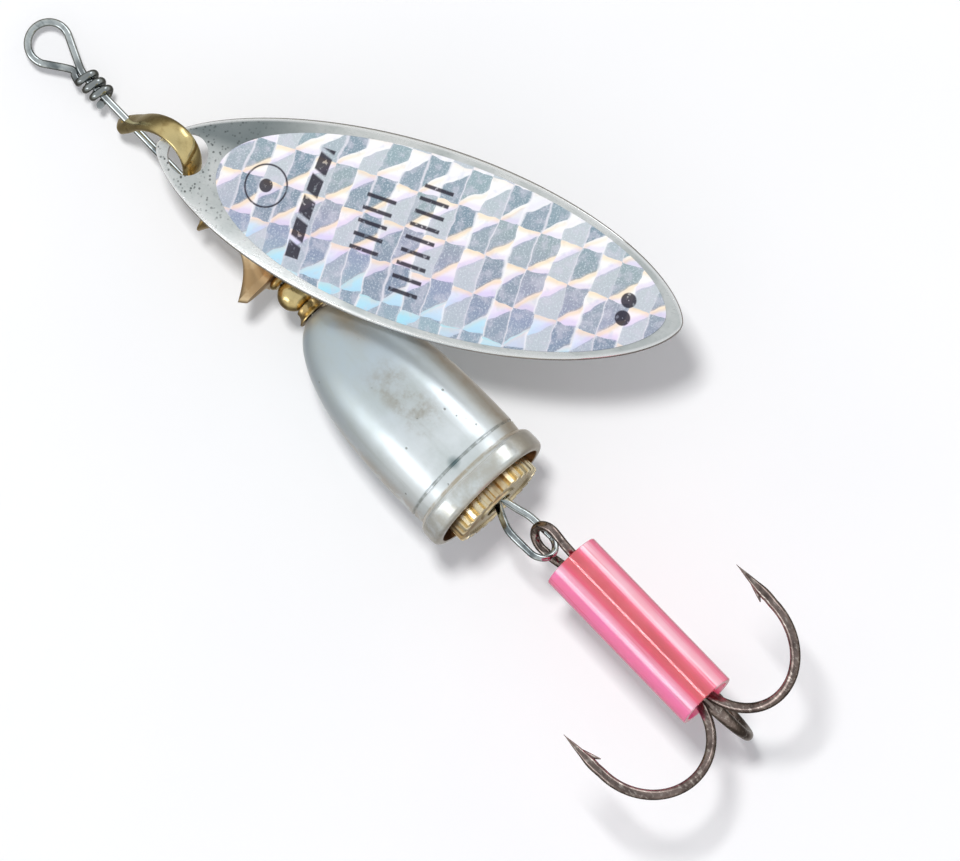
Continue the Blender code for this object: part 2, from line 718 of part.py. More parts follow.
def make_double_hook():
    left, left_scales = bend_path(HOOK_AZIMUTHS[0])
    right, right_scales = bend_path(HOOK_AZIMUTHS[1])
    across = Vector((math.cos(RING_TURN), math.sin(RING_TURN), 0.0))
    axis = Vector((TREBLE_X, TREBLE_Y, 0.0))
    ring_axis = Vector((RING_X, TREBLE_Y, 0.0))
    shank_left = hook_direction(HOOK_AZIMUTHS[0]) * SHANK_RADIUS + axis
    shank_right = hook_direction(HOOK_AZIMUTHS[1]) * SHANK_RADIUS + axis
    rise = RING_TOP_Z - RING_CENTRE_Z
    ring = [
        shank_left + Vector((0.0, 0.0, SHANK_TOP_Z - 0.6)),
        shank_left + Vector((0.0, 0.0, SHANK_TOP_Z + 0.4)),
        ring_axis - across * 1.04 + Vector((0.0, 0.0, RING_CENTRE_Z - 1.35))]
    ring_steps = 10
    for k in range(ring_steps + 1):
        angle = math.radians(195.0 - 210.0 * k / ring_steps)
        ring.append(
            ring_axis + across * (RING_HALF_WIDTH * math.cos(angle))
            + Vector((0.0, 0.0, RING_CENTRE_Z + rise * math.sin(angle))))
    ring += [
        ring_axis + across * 1.04 + Vector((0.0, 0.0, RING_CENTRE_Z - 1.35)),
        shank_right + Vector((0.0, 0.0, SHANK_TOP_Z + 0.4)),
        shank_right + Vector((0.0, 0.0, SHANK_TOP_Z - 0.6))]
    middle = smooth_path(ring, 3)
    path = list(reversed(left)) + middle + right
    scales = list(reversed(left_scales)) + [1.0] * len(middle) + right_scales
    mesh = wire_mesh("double_hook", path, HOOK_WIRE_RADIUS, scales)
    thing = add_object("double_hook", mesh, hook_finish("double_hook_finish"), origin=treble_pivot())
    shade_smooth(thing)
    add_barb(thing, HOOK_AZIMUTHS[0])
    add_barb(thing, HOOK_AZIMUTHS[1])
    return thing


def make_single_hook():
    """The third hook, brazed to the other two a little higher up."""
    bend, scales = bend_path(HOOK_AZIMUTHS[2])
    direction = hook_direction(HOOK_AZIMUTHS[2])
    path = [treble_point(direction, SHANK_RADIUS, SHANK_TOP_Z)]
    path += [point + Vector((0.0, 0.0, SINGLE_HOOK_RAISE)) for point in bend]
    mesh = wire_mesh("single_hook", path, HOOK_WIRE_RADIUS, [1.0] + scales)
    thing = add_object("single_hook", mesh, hook_finish("single_hook_finish"), origin=treble_pivot())
    shade_smooth(thing)
    add_barb(thing, HOOK_AZIMUTHS[2], BARB_Z + SINGLE_HOOK_RAISE)
    return thing


def treble_pivot():
    """The bottom of the rear loop, where the treble's eye turns on it."""
    across = Vector((math.cos(LOOP_TURN), math.sin(LOOP_TURN), 0.0))
    centre = Vector((LOOP_CENTRE_X, 0.0, 0.0))
    along = across.dot(Vector((RING_X, TREBLE_Y, 0.0)) - centre)
    drop = math.sqrt(LOOP_HALF_WIDTH ** 2 - along ** 2)
    return centre + across * along + Vector((0.0, 0.0, LOOP_CENTRE_Z - drop))


def make_sleeve():
    profile = [
        (SLEEVE_OUTER_RADIUS, SLEEVE_TOP_Z), (SLEEVE_OUTER_RADIUS, SLEEVE_BOTTOM_Z),
        (SLEEVE_INNER_RADIUS, SLEEVE_BOTTOM_Z), (SLEEVE_INNER_RADIUS, SLEEVE_TOP_Z)]
    finish = new_material("pink_tube", (0.85, 0.30, 0.45), 0.0, 0.35)
    thing = turned("hook_sleeve", profile, finish, 40)
    thing.location = Vector((TREBLE_X, TREBLE_Y, 0.0)) * MM
    return thing


make_shaft()
make_clevis()
make_blade()
make_foil()
make_beads()
make_spur_wheel()
make_bell()
make_spacer_tube()
make_toothed_wheel()
make_double_hook()
make_single_hook()
make_sleeve()
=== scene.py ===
"""Looks of the inline spinner: finished pieces, materials, table, light and camera.

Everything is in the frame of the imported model, in metres. Z runs up the shaft to the line
eye, -Y is the side the blade hangs on. The lure is shown as it lies on a white table, which
is the plane behind it, square to the camera.
"""

from math import copysign, cos, pi, radians, sin, sqrt

import bmesh
import bpy
from mathutils import Matrix, Vector, noise


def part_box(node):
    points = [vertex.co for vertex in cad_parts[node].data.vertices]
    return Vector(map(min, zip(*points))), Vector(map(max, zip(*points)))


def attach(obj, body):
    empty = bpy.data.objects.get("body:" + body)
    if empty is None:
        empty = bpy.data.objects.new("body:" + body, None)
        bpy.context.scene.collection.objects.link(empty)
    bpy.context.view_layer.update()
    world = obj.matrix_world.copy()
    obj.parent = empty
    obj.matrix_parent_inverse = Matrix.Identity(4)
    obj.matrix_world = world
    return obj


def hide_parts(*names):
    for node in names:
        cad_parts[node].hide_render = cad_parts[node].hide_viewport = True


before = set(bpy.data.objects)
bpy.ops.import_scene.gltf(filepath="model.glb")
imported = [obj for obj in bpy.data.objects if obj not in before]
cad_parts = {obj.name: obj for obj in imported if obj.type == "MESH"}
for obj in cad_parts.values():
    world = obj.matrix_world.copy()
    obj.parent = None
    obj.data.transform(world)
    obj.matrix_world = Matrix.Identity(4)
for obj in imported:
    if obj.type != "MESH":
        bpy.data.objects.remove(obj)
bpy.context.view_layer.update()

MM = 0.001
TAU = 2.0 * pi

# Camera: it looks up at the lure by the tilt, turned so that the shaft runs down to the right.
CAMERA_TILT = radians(8.0)
CAMERA_ROLL = radians(44.03)
CAMERA_AIM = Vector((2.85, 0.0, -45.17)) * MM
CAMERA_WIDTH = 71.86 * MM
CAMERA_LENS = 800.0
SENSOR_WIDTH = 36.0
TABLE_DEPTH = 1.60 * MM
TABLE_SIZE = 0.9

# Blade, beside what its box gives
BLADE_HOLE = Vector((1.50, -3.60, -15.46)) * MM
BLADE_TAIL = Vector((19.10, -5.65, -50.90)) * MM
BLADE_LEAN = -0.30 * MM
BLADE_TIP_PAST_HOLE = 2.65 * MM
BLADE_HALF_WIDTH = 7.15 * MM
BLADE_NARROW_POWER = 0.65
BLADE_TAIL_POWER = 0.62
BLADE_DOME = 1.75 * MM
BLADE_THICKNESS = 0.55 * MM
BLADE_HOLE_RADIUS = 1.60 * MM
FOIL_START = 2.60 * MM
FOIL_TAIL_MARGIN = 1.30 * MM
FOIL_HALF_WIDTH = 6.45 * MM
FOIL_SHIFT = -0.05 * MM
FOIL_GAP = 0.05 * MM
FOIL_THICKNESS = 0.10 * MM

# Clevis
CLEVIS_TURN = radians(20.8)
CLEVIS_WIDTH = 1.80 * MM
CLEVIS_THICKNESS = 0.70 * MM
CLEVIS_MIDDLE_Z = -13.25 * MM
CLEVIS_HALF_HEIGHT = 3.05 * MM
CLEVIS_BOW_START = -0.60 * MM
CLEVIS_BOW_DEPTH = 5.95 * MM
CLEVIS_DROOP = 0.165
CLEVIS_TAB_END = -1.40 * MM
CLEVIS_FLARE_START = 1.50 * MM
CLEVIS_FLARE = 0.55 * MM

BORE_RADIUS = 0.42 * MM

# Shaft wire and treble, in millimetres
WIRE_RADIUS = 0.30
EYE_RADIUS = 1.60
EYE_CENTRE_X = -0.22
EYE_CENTRE_Z = -1.30
NECK_Z = -3.95
WRAP_RADIUS = 0.66
WRAP_TOP_Z = -5.00
WRAP_PITCH = 0.80
WRAP_TURNS = 3.0
HUB_Z = -50.55
LOOP_HALF_WIDTH = 1.25
LOOP_CENTRE = Vector((0.18, 0.0, -54.45))
LOOP_TURN = radians(38.0)
DOUBLED_END_Z = -43.0
DOUBLED_OFFSET = 0.68
HOOK_WIRE_RADIUS = 0.40
TREBLE_AXIS = Vector((0.98, -0.06, 0.0))
SHANK_RADIUS = 0.49
BEND_RADIUS = 4.95
BEND_CENTRE_Z = -70.65
POINT_Z = -66.65
POINT_LENGTH = 3.45
BARB_Z = -69.85
BARB_REACH = 0.80
HOOK_AZIMUTHS = (206.0, 326.0, 86.0)
SINGLE_HOOK_RAISE = 0.55
RING_AXIS = Vector((0.80, -0.06, 0.0))
RING_TURN = radians(-52.0)
RING_HALF_WIDTH = 1.25
RING_TOP_Z = -53.45
RING_CENTRE_Z = -54.70
SHANK_TOP_Z = -58.40

# Share of the wire's thickness kept at the hook's eye and at the rear loop, so that they clear each other
# when the treble swings, and the height below which the loop is thinned
RING_THINNED = 0.90
LOOP_THINNED = 0.90
LOOP_WORN_Z = -53.4

# Soft tube on the shank, in millimetres
TUBE_RADIUS = 2.45
TUBE_CENTRE_X = 1.05

# Prism foil tiles, in millimetres
CELL_WIDTH = 2.90
CELL_HEIGHT = 3.26
CELL_START = (0.08, 1.31)

# Key lamp: right of, above and in front of the aim, and its size, in metres; its power in watts
KEY_PLACE = (-0.130, 0.315, 1.22)
KEY_SIZE = 0.17
KEY_POWER = 9.15
KEY_COLOUR = (1.0, 0.995, 0.985)

# Room: its bright strips, placed on the unit sphere by how far beside the lure and how high they are, and
# the plain levels that diffuse rays and the camera meet
STRIP_BESIDE = 0.885
STRIP_LEVEL = 0.10
STRIP_COLOUR = (2.9, 2.95, 3.0, 1.0)
DIFFUSE_ROOM = (0.475, 0.48, 0.495, 1.0)
CAMERA_ROOM = (0.97, 0.97, 0.975, 1.0)


# ---------------------------------------------------------------- shader graphs

class Graph:
    """The nodes of a material or of the world, added and joined by short calls."""

    def __init__(self, owner):
        owner.use_nodes = True
        self.owner = owner
        self.tree = owner.node_tree
        self.shader = self.tree.nodes.get("Principled BSDF")
        self.colour = None

    def new(self, kind, **settings):
        made = self.tree.nodes.new("ShaderNode" + kind)
        for name, value in settings.items():
            setattr(made, name, value)
        return made

    def feed(self, socket, value):
        if isinstance(value, bpy.types.NodeSocket):
            self.tree.links.new(value, socket)
        else:
            socket.default_value = value

    def feed_all(self, node, values):
        for name, value in values.items():
            self.feed(node.inputs[name], value)
        return node

    def surface(self, **values):
        """Feed the shader's own sockets, with _ for the spaces in their names."""
        self.feed_all(self.shader, {name.replace("_", " "): value for name, value in values.items()})

    def calc(self, operation, *values):
        return self.feed_all(self.new("Math", operation=operation), dict(enumerate(values))).outputs[0]

    def times(self, first, second):
        return self.calc("MULTIPLY", first, second)

    def plus(self, first, second):
        return self.calc("ADD", first, second)

    def minus(self, first, second):
        return self.calc("SUBTRACT", first, second)

    def abs(self, value):
        return self.calc("ABSOLUTE", value)

    def vector(self, operation, *values):
        made = self.feed_all(self.new("VectorMath", operation=operation), dict(enumerate(values)))
        return made.outputs["Value" if operation in ("DISTANCE", "DOT_PRODUCT") else "Vector"]

    def split(self, vector):
        return self.feed_all(self.new("SeparateXYZ"), {0: vector}).outputs

    def join(self, *values):
        return self.feed_all(self.new("CombineXYZ"), dict(enumerate(values))).outputs[0]

    def coords(self):
        return self.new("TexCoord").outputs["Object"]

    def coords_mm(self):
        spot = self.vector("SCALE", self.coords())
        spot.node.inputs["Scale"].default_value = 1.0 / MM
        return spot

    def plate(self, layer="plate"):
        """Millimetres on the blade: across and along from its hole, or in from its rim."""
        return self.new("UVMap", uv_map=layer).outputs["UV"]

    def noise(self, coords, scale, detail=3.0, roughness=0.55):
        return self.feed_all(self.new("TexNoise"), {
            "Vector": coords, "Scale": scale, "Detail": detail, "Roughness": roughness}).outputs["Fac"]

    def cells(self, coords, scale):
        return self.feed_all(self.new("TexVoronoi"), {"Vector": coords, "Scale": scale}).outputs["Distance"]

    def step(self, value, low, high, start=0.0, end=1.0):
        return self.feed_all(self.new("MapRange", interpolation_type="SMOOTHSTEP"), {
            "Value": value, "From Min": low, "From Max": high, "To Min": start, "To Max": end}).outputs[0]

    def mix(self, factor, first, second):
        return self.feed_all(self.new("Mix", data_type="RGBA"), {0: factor, 6: first, 7: second}).outputs[2]

    def ramp(self, factor, stops):
        made = self.feed_all(self.new("ValToRGB"), {0: factor})
        elements = made.color_ramp.elements
        while len(elements) < len(stops):
            elements.new(0.5)
        for element, (place, colour) in zip(elements, stops):
            element.position = place
            element.color = colour
        return made.outputs["Color"]

    def paint(self, share, colour):
        """Lay a colour over the colour so far."""
        self.colour = self.mix(share, self.colour, colour)

    def finish(self, height, distance, strength):
        """Give the shader the colour so far and a bump, and return the material."""
        made = self.feed_all(self.new("Bump"), {"Strength": strength, "Distance": distance, "Height": height})
        self.surface(Base_Color=self.colour, Normal=made.outputs["Normal"])
        return self.owner


def new_material(name):
    return Graph(bpy.data.materials.new(name))


def rgb(red, green, blue):
    """A colour given as the eye sees it, 0 to 255, as the shader wants it."""
    out = []
    for part in (red, green, blue):
        level = part / 255.0
        out.append(level / 12.92 if level <= 0.04045 else ((level + 0.055) / 1.055) ** 2.4)
    return (out[0], out[1], out[2], 1.0)


# ---------------------------------------------------------------- materials

def metal(name, light, dark, roughness, grain, stretch, dark_share, pits):
    """Worn metal: cloudy tarnish, fine grain, hairline scratches and pits."""
    g = new_material(name)
    coords = g.coords()
    cloud = g.noise(coords, 330.0, 4.0, 0.6)
    fine = g.noise(g.vector("MULTIPLY", coords, stretch), grain, 3.0, 0.6)
    tarnish = g.step(cloud, 0.62 - 0.3 * dark_share, 0.80 - 0.3 * dark_share, 0.0, 0.85)
    g.colour = g.mix(tarnish, light, dark)
    g.paint(g.step(fine, 0.45, 0.75, 0.0, 0.35), dark)
    pit = g.times(
        g.step(g.cells(coords, 1500.0), 0.10, 0.24, 1.0, 0.0), g.step(g.noise(coords, 700.0, 2.0), 0.55, 0.62))
    g.paint(g.times(pit, pits), dark)
    height = g.minus(fine, g.times(pit, 3.0 * pits))
    g.surface(Metallic=1.0, Roughness=g.step(cloud, 0.3, 0.75, roughness * 0.8, roughness * 1.5))
    return g.finish(height, 0.012 * MM, 0.5)


def blade_material():
    """Silver plate: soft grey, painted shade along the right margin near the hole, specks where the plating is
    worn, thickest round the hole, a painted highlight along the rim and a thin painted edge shade.
    """
    g = new_material("blade_silver")
    coords = g.coords()
    flat = g.plate()
    across, along = g.split(flat)[:2]
    from_edge = g.split(g.plate("rim"))[0]
    cloud = g.noise(coords, 260.0, 4.0, 0.6)
    g.colour = g.mix(g.step(cloud, 0.35, 0.7), rgb(236, 238, 237), rgb(200, 206, 205))
    near_hole = g.step(along, 0.5, 7.0, 1.0, 0.0)
    # Painted shade: a darker grey along the right margin near the hole.
    shaded = g.times(g.step(across, 0.7, 2.2), g.step(along, 4.0, 12.0, 1.0, 0.0))
    g.paint(g.times(shaded, 0.90), rgb(126, 136, 138))
    specks = g.cells(flat, 3.4)
    worn = g.times(g.step(specks, 0.16, 0.42, 1.0, 0.0), g.step(g.noise(flat, 1.3, 3.0), 0.42, 0.54))
    worn = g.times(worn, g.plus(g.times(near_hole, 0.80), 0.08))
    g.paint(worn, rgb(66, 74, 74))
    scratch = g.noise(g.vector("MULTIPLY", flat, (9.0, 0.7, 1.0)), 1.6, 2.0)
    g.paint(g.step(scratch, 0.62, 0.70, 0.0, 0.35), rgb(150, 158, 158))
    # Painted highlight: a near-white band along the rim, where the rim is also made a little smoother.
    polish_and_rim_highlight = g.step(from_edge, 0.42, 0.16)
    g.paint(g.times(polish_and_rim_highlight, 0.85), rgb(252, 253, 253))
    # Painted shade: a thin brown line at the very edge of the rim.
    rim_edge_shade = g.step(from_edge, 0.09, 0.03)
    g.paint(g.times(rim_edge_shade, 0.70), rgb(132, 112, 104))
    g.surface(Metallic=0.85)
    dull = g.step(cloud, 0.3, 0.75, 0.24, 0.42)
    g.surface(Roughness=g.minus(dull, g.times(polish_and_rim_highlight, 0.10)))
    height = g.minus(scratch, g.times(worn, 2.0))
    return g.finish(height, 0.015 * MM, 0.4)


def foil_material():
    """Prism foil: slanted dull tiles with bright pointed facets between, widened on the right as a painted
    highlight, tinted by place, and marks.
    """
    g = new_material("prism_foil")
    flat = g.plate()
    across, along = g.split(flat)[:2]

    def lerp(share, first, second):
        return g.plus(first, g.times(share, g.minus(second, first)))

    sway = g.times(g.minus(g.noise(flat, 0.50, 2.0), 0.5), 0.22)
    swing = g.times(g.minus(g.noise(g.vector("ADD", flat, (31.0, 17.0, 0.0)), 0.50, 2.0), 0.5), 0.22)
    column = g.plus(g.calc("DIVIDE", g.minus(across, CELL_START[0]), CELL_WIDTH), sway)
    row = g.plus(g.calc("DIVIDE", g.minus(along, CELL_START[1]), CELL_HEIGHT), swing)
    column_index, row_index = g.calc("FLOOR", column), g.calc("FLOOR", row)
    side, down = g.calc("FRACT", column), g.calc("FRACT", row)
    lower = g.calc("GREATER_THAN", down, 0.5)
    half = g.minus(g.times(down, 2.0), lower)
    # Painted highlight: the bright facets widen toward the right side.
    right_side_highlight = g.step(across, 2.2, 4.6)
    left_edge = lerp(lower, g.times(half, 0.12), g.plus(g.times(half, 0.53), 0.47))
    right_edge = lerp(lower, g.times(half, 0.53), g.plus(g.times(half, 0.06), 0.94))
    from_left = g.minus(side, left_edge)
    from_right = g.minus(right_edge, side)
    inside = g.calc("MINIMUM", from_left, from_right)
    inside = g.plus(inside, g.times(right_side_highlight, 0.07))
    facet = g.step(inside, -0.085, -0.04)

    tile = g.join(g.plus(column_index, g.times(g.calc("GREATER_THAN", side, right_edge), 0.5)), row_index,
        lower)
    luck = g.feed_all(g.new("TexWhiteNoise", noise_dimensions="3D"), {"Vector": tile}).outputs["Value"]

    hue = g.plus(g.calc("DIVIDE", across, 14.0), 0.50)
    hue = g.plus(hue, g.times(g.minus(luck, 0.5), 0.16))
    bright = g.ramp(hue, [
        (0.00, rgb(176, 234, 252)), (0.14, rgb(200, 234, 252)), (0.27, rgb(240, 232, 252)),
        (0.38, rgb(255, 244, 250)), (0.50, rgb(255, 252, 246)), (0.62, rgb(255, 255, 253)),
        (0.80, rgb(255, 255, 255)), (1.00, rgb(253, 255, 255))])
    dull = g.ramp(hue, [
        (0.00, rgb(160, 184, 196)), (0.22, rgb(152, 162, 190)), (0.40, rgb(160, 164, 184)),
        (0.60, rgb(156, 172, 178)), (0.80, rgb(152, 174, 182)), (1.00, rgb(164, 182, 188))])
    dull = g.mix(g.step(luck, 0.3, 0.9, 0.0, 0.70), dull, rgb(122, 142, 162))
    pale = g.times(lower, g.step(luck, 0.9, 0.1, 0.10, 0.75))
    dull = g.mix(pale, dull, rgb(208, 214, 220))
    grain = g.noise(flat, 7.0, 4.0, 0.75)
    dull = g.mix(g.step(grain, 0.50, 0.66, 0.0, 0.70), dull, rgb(226, 236, 242))
    cloud = g.noise(flat, 1.1, 3.0)
    dull = g.mix(g.step(cloud, 0.46, 0.66, 0.0, 0.45), dull, rgb(214, 212, 226))
    bright = g.mix(g.step(cloud, 0.34, 0.48, 0.40, 0.0), bright, rgb(214, 222, 230))
    bright = g.mix(g.step(luck, 0.78, 0.90, 0.0, 0.45), bright, rgb(210, 212, 226))
    g.colour = g.mix(facet, dull, bright)

    middle = g.step(g.abs(across), 2.4, 5.2, 1.0, 0.30)
    violet = g.times(g.step(g.abs(from_left), 0.0, 0.16, 1.0, 0.0), middle)
    g.paint(g.times(violet, 0.34), rgb(204, 178, 244))
    peach = g.times(g.step(g.abs(from_right), 0.0, 0.15, 1.0, 0.0), middle)
    g.paint(g.times(peach, 0.50), rgb(255, 218, 160))
    broken = g.step(luck, 0.40, 0.60, 0.15, 1.0)
    crest = g.step(g.abs(g.minus(down, 0.5)), 0.01, 0.06, 0.75, 0.0)
    crest = g.times(crest, broken)
    g.paint(crest, rgb(250, 249, 253))
    fold = g.step(g.calc("MINIMUM", down, g.minus(1.0, down)), 0.01, 0.05, 0.65, 0.0)
    fold = g.times(fold, broken)
    g.paint(fold, rgb(246, 242, 250))

    ink = foil_marks(g, across, along)
    g.paint(ink, rgb(34, 28, 44))
    g.surface(Metallic=g.times(g.minus(1.0, ink), 0.12), Roughness=g.step(facet, 0.0, 1.0, 0.42, 0.26),
        Specular_IOR_Level=0.35, Coat_Weight=0.15, Coat_Roughness=0.16)
    slope = g.plus(g.times(half, 0.6), side)
    height = g.plus(lerp(facet, slope, 1.2), g.times(grain, 0.3))
    return g.finish(height, 0.03 * MM, 0.30)


def block_mark(g, across, along, centre, half, soft=0.05):
    """1 inside a rectangle of the foil, 0 outside."""
    side = g.minus(g.abs(g.minus(across, centre[0])), half[0])
    end = g.minus(g.abs(g.minus(along, centre[1])), half[1])
    return g.step(g.calc("MAXIMUM", side, end), -soft, soft, 1.0, 0.0)


def ring_mark(g, across, along, centre, radius, half_line):
    side = g.minus(across, centre[0])
    end = g.minus(along, centre[1])
    reach = g.calc("SQRT", g.plus(g.times(side, side), g.times(end, end)))
    off = g.abs(g.minus(reach, radius))
    return g.step(off, half_line - 0.05, half_line + 0.05, 1.0, 0.0)


def tick_row(g, across, along, centre, half, pitch, share, lean):
    """A row of slanted ticks inside a rectangle."""
    slid = g.plus(across, g.times(along, lean))
    phase = g.calc("FRACT", g.plus(g.calc("DIVIDE", slid, pitch), 40.0))
    tick = g.step(g.abs(g.minus(phase, 0.5)), share / 2.0 - 0.06, share / 2.0 + 0.06, 1.0, 0.0)
    return g.times(tick, block_mark(g, across, along, centre, half))


def foil_marks(g, across, along):
    """Plain printed marks: a ring with a dot, a broken bar, two rows of ticks, two dots."""
    marks = [
        ring_mark(g, across, along, (-0.35, 6.6), 1.62, 0.07),
        ring_mark(g, across, along, (-0.35, 6.6), 0.26, 0.26),
        tick_row(g, across, along, (-0.50, 10.15), (4.30, 0.52), 1.75, 0.80, 0.35),
        tick_row(g, across, along, (-0.40, 15.3), (2.55, 1.15), 1.02, 0.30, 0.0),
        tick_row(g, across, along, (-0.45, 19.1), (4.45, 1.15), 1.02, 0.30, 0.0),
        ring_mark(g, across, along, (-0.95, 35.3), 0.30, 0.28),
        ring_mark(g, across, along, (0.45, 35.3), 0.30, 0.28)]
    ink = marks[0]
    for mark in marks[1:]:
        ink = g.calc("MAXIMUM", ink, mark)
    fade = g.step(g.noise(g.join(across, along), 2.4, 2.0), 0.30, 0.42, 0.55, 0.94)
    return g.times(ink, fade)


def bell_material():
    """Silvered brass: blue-grey above, whiter below as painted light; brown on the right as a painted
    reflection of the blade; painted shade at the left edge and in the groove; a darker middle as a painted
    reflection; brown bands near the top, at the step and round the lip.
    """
    g = new_material("bell_silver")
    spot = g.coords_mm()
    split = g.split(spot)
    wide, height_mm = split[0], split[2]
    both = g.times
    cloud = g.noise(spot, 0.22, 5.0, 0.62)
    streak = g.noise(g.vector("MULTIPLY", spot, (1.0, 1.0, 0.10)), 1.1, 3.0)
    # Blue-grey above, whiter toward the mouth; the whiter lower part is painted light.
    g.colour = g.mix(g.step(height_mm, -33.0, -46.0), rgb(190, 205, 215), rgb(236, 243, 246))
    g.paint(g.step(cloud, 0.40, 0.70, 0.0, 0.55), rgb(196, 206, 204))
    g.paint(g.step(streak, 0.52, 0.78, 0.0, 0.35), rgb(186, 194, 190))
    blotch = g.noise(spot, 0.55, 4.0, 0.7)
    brown = rgb(176, 150, 104)
    patches = (
        # Painted reflection of the blade's underside: brown on the right side near the top.
        (both(g.step(wide, 3.5, 4.7), g.step(height_mm, -29.0, -33.0)), 0.80),
        (both(g.step(wide, -0.2, 1.6), g.step(height_mm, -36.5, -31.5)), 0.75),
        # Painted shade: brown at the left edge.
        (both(g.step(wide, -4.3, -5.1), g.step(blotch, 0.35, 0.55)), 0.60),
        # Brown bands near the top, at the step and round the lip.
        (g.step(height_mm, -31.4, -30.2), 0.55),
        (both(g.step(g.abs(g.plus(height_mm, 47.35)), 0.26, 0.08),
              g.step(streak, 0.35, 0.55, 0.4, 1.0)), 0.75),
        (g.step(height_mm, -48.95, -49.20), 0.55))
    for mask, most in patches:
        uneven = g.step(blotch, 0.25, 0.70, 0.6, 1.0)
        g.paint(both(both(mask, uneven), most), brown)
    # Painted reflection: the middle of the front is darker between the bright bands.
    middle = both(
        g.step(g.abs(g.minus(wide, 0.5)), 2.1, 0.5),
        both(g.step(height_mm, -35.5, -39.0), g.step(height_mm, -45.0, -41.5)))
    g.paint(both(middle, g.step(blotch, 0.40, 0.70, 0.15, 0.75)), rgb(158, 150, 132))
    # Painted shade: a dark line in the groove.
    line = both(g.step(g.abs(g.plus(height_mm, 46.30)), 0.17, 0.05), g.step(streak, 0.38, 0.56, 0.25, 1.0))
    g.paint(both(line, 0.60), rgb(112, 116, 108))
    smudge = g.vector("DISTANCE", spot, (-0.2, -4.7, -46.2))
    g.paint(g.step(smudge, 0.75, 0.25, 0.0, 0.85), rgb(84, 112, 116))
    g.paint(both(g.step(height_mm, -47.4, -47.8), g.step(blotch, 0.30, 0.62, 0.15, 0.75)), rgb(188, 184, 172))
    speckle = g.cells(spot, 0.9)
    speck = both(g.step(speckle, 0.13, 0.05), g.step(blotch, 0.50, 0.58, 0.0, 0.7))
    g.paint(speck, rgb(96, 100, 92))
    g.surface(Metallic=0.60, Sheen_Weight=0.30, Sheen_Roughness=0.45)
    on_rim = g.step(height_mm, -47.4, -47.8)
    g.surface(Roughness=g.minus(g.step(cloud, 0.3, 0.75, 0.28, 0.40), both(on_rim, 0.13)))
    height = g.minus(streak, both(speck, 3.0))
    return g.finish(height, 0.012 * MM, 0.45)


def tube_material():
    """Soft clear pink tube: tinted all through, glossy, faintly streaked along its length, with two pale bands
    down it as painted highlights and a faint painted glow.
    """
    g = new_material("pink_tube")
    spot = g.coords_mm()
    ripple = g.noise(g.vector("MULTIPLY", spot, (1.0, 1.0, 0.04)), 2.6, 3.0)
    cloud = g.noise(spot, 0.3, 3.0)
    wander = g.times(g.minus(ripple, 0.5), 0.10)
    from_left = g.plus(g.split(spot)[0], TUBE_RADIUS - TUBE_CENTRE_X)
    place = g.plus(g.calc("DIVIDE", from_left, 2.0 * TUBE_RADIUS), wander)
    # Across the tube: the pale bands at about a quarter and three quarters of the way are painted highlights;
    # the middle is a darker red.
    g.colour = g.ramp(place, [
        (0.00, rgb(255, 170, 206)), (0.16, rgb(252, 138, 206)), (0.25, rgb(250, 214, 238)),
        (0.31, rgb(248, 190, 216)), (0.36, rgb(240, 96, 136)), (0.44, rgb(222, 98, 110)),
        (0.58, rgb(212, 92, 100)), (0.66, rgb(230, 104, 126)), (0.71, rgb(244, 120, 160)),
        (0.77, rgb(255, 232, 244)), (0.86, rgb(253, 214, 230)), (0.91, rgb(250, 148, 182)),
        (1.00, rgb(255, 172, 196))])
    g.paint(g.step(cloud, 0.35, 0.7, 0.0, 0.25), rgb(250, 150, 166))
    g.paint(g.step(ripple, 0.56, 0.70, 0.0, 0.40), rgb(214, 84, 96))
    # Painted light: the faint pink emission is a glow for the fluorescent dye.
    g.surface(
        Roughness=g.step(ripple, 0.35, 0.7, 0.04, 0.10), Transmission_Weight=0.44, IOR=1.20, Coat_Weight=1.0,
        Coat_IOR=1.9, Coat_Roughness=0.05, Emission_Color=rgb(255, 70, 104),
        Emission_Strength=0.09)
    return g.finish(ripple, 0.02 * MM, 0.10)


def hook_material():
    """Bronzed hook wire: dark brown-grey, lighter where it is rubbed."""
    g = new_material("hook_bronze")
    coords = g.coords()
    cloud = g.noise(coords, 800.0, 4.0, 0.6)
    fine = g.noise(g.vector("MULTIPLY", coords, (1.0, 1.0, 0.4)), 4200.0, 3.0)
    g.colour = g.mix(g.step(cloud, 0.35, 0.7), rgb(150, 134, 128), rgb(98, 86, 82))
    g.paint(g.step(fine, 0.50, 0.72, 0.0, 0.7), rgb(206, 196, 188))
    g.surface(Metallic=1.0, Roughness=g.step(cloud, 0.3, 0.75, 0.12, 0.26))
    return g.finish(fine, 0.01 * MM, 0.5)


def table_material():
    """White table, seen only from its upper side."""
    g = new_material("table_white")
    coords = g.coords()
    paper = g.noise(coords, 60.0, 3.0)
    white = g.mix(paper, rgb(250, 250, 251), rgb(247, 248, 250))
    g.surface(Base_Color=white, Roughness=0.9, Specular_IOR_Level=0.1)
    clear = g.new("BsdfTransparent").outputs[0]
    from_behind = g.new("NewGeometry").outputs["Backfacing"]
    shown = g.feed_all(g.new("MixShader"), {0: from_behind, 1: g.shader.outputs[0], 2: clear})
    g.feed(g.tree.nodes["Material Output"].inputs["Surface"], shown.outputs[0])
    return g.owner


# ---------------------------------------------------------------- mesh helpers

def add_object(name, data):
    made = bpy.data.objects.new(name, data)
    bpy.context.scene.collection.objects.link(made)
    return made


def add_mesh(name, shape):
    mesh = bpy.data.meshes.new(name)
    shape.to_mesh(mesh)
    shape.free()
    return add_object(name, mesh)


def shade_smooth(mesh, angle):
    for face in mesh.polygons:
        face.use_smooth = True
    mesh.set_sharp_from_angle(angle=radians(angle))


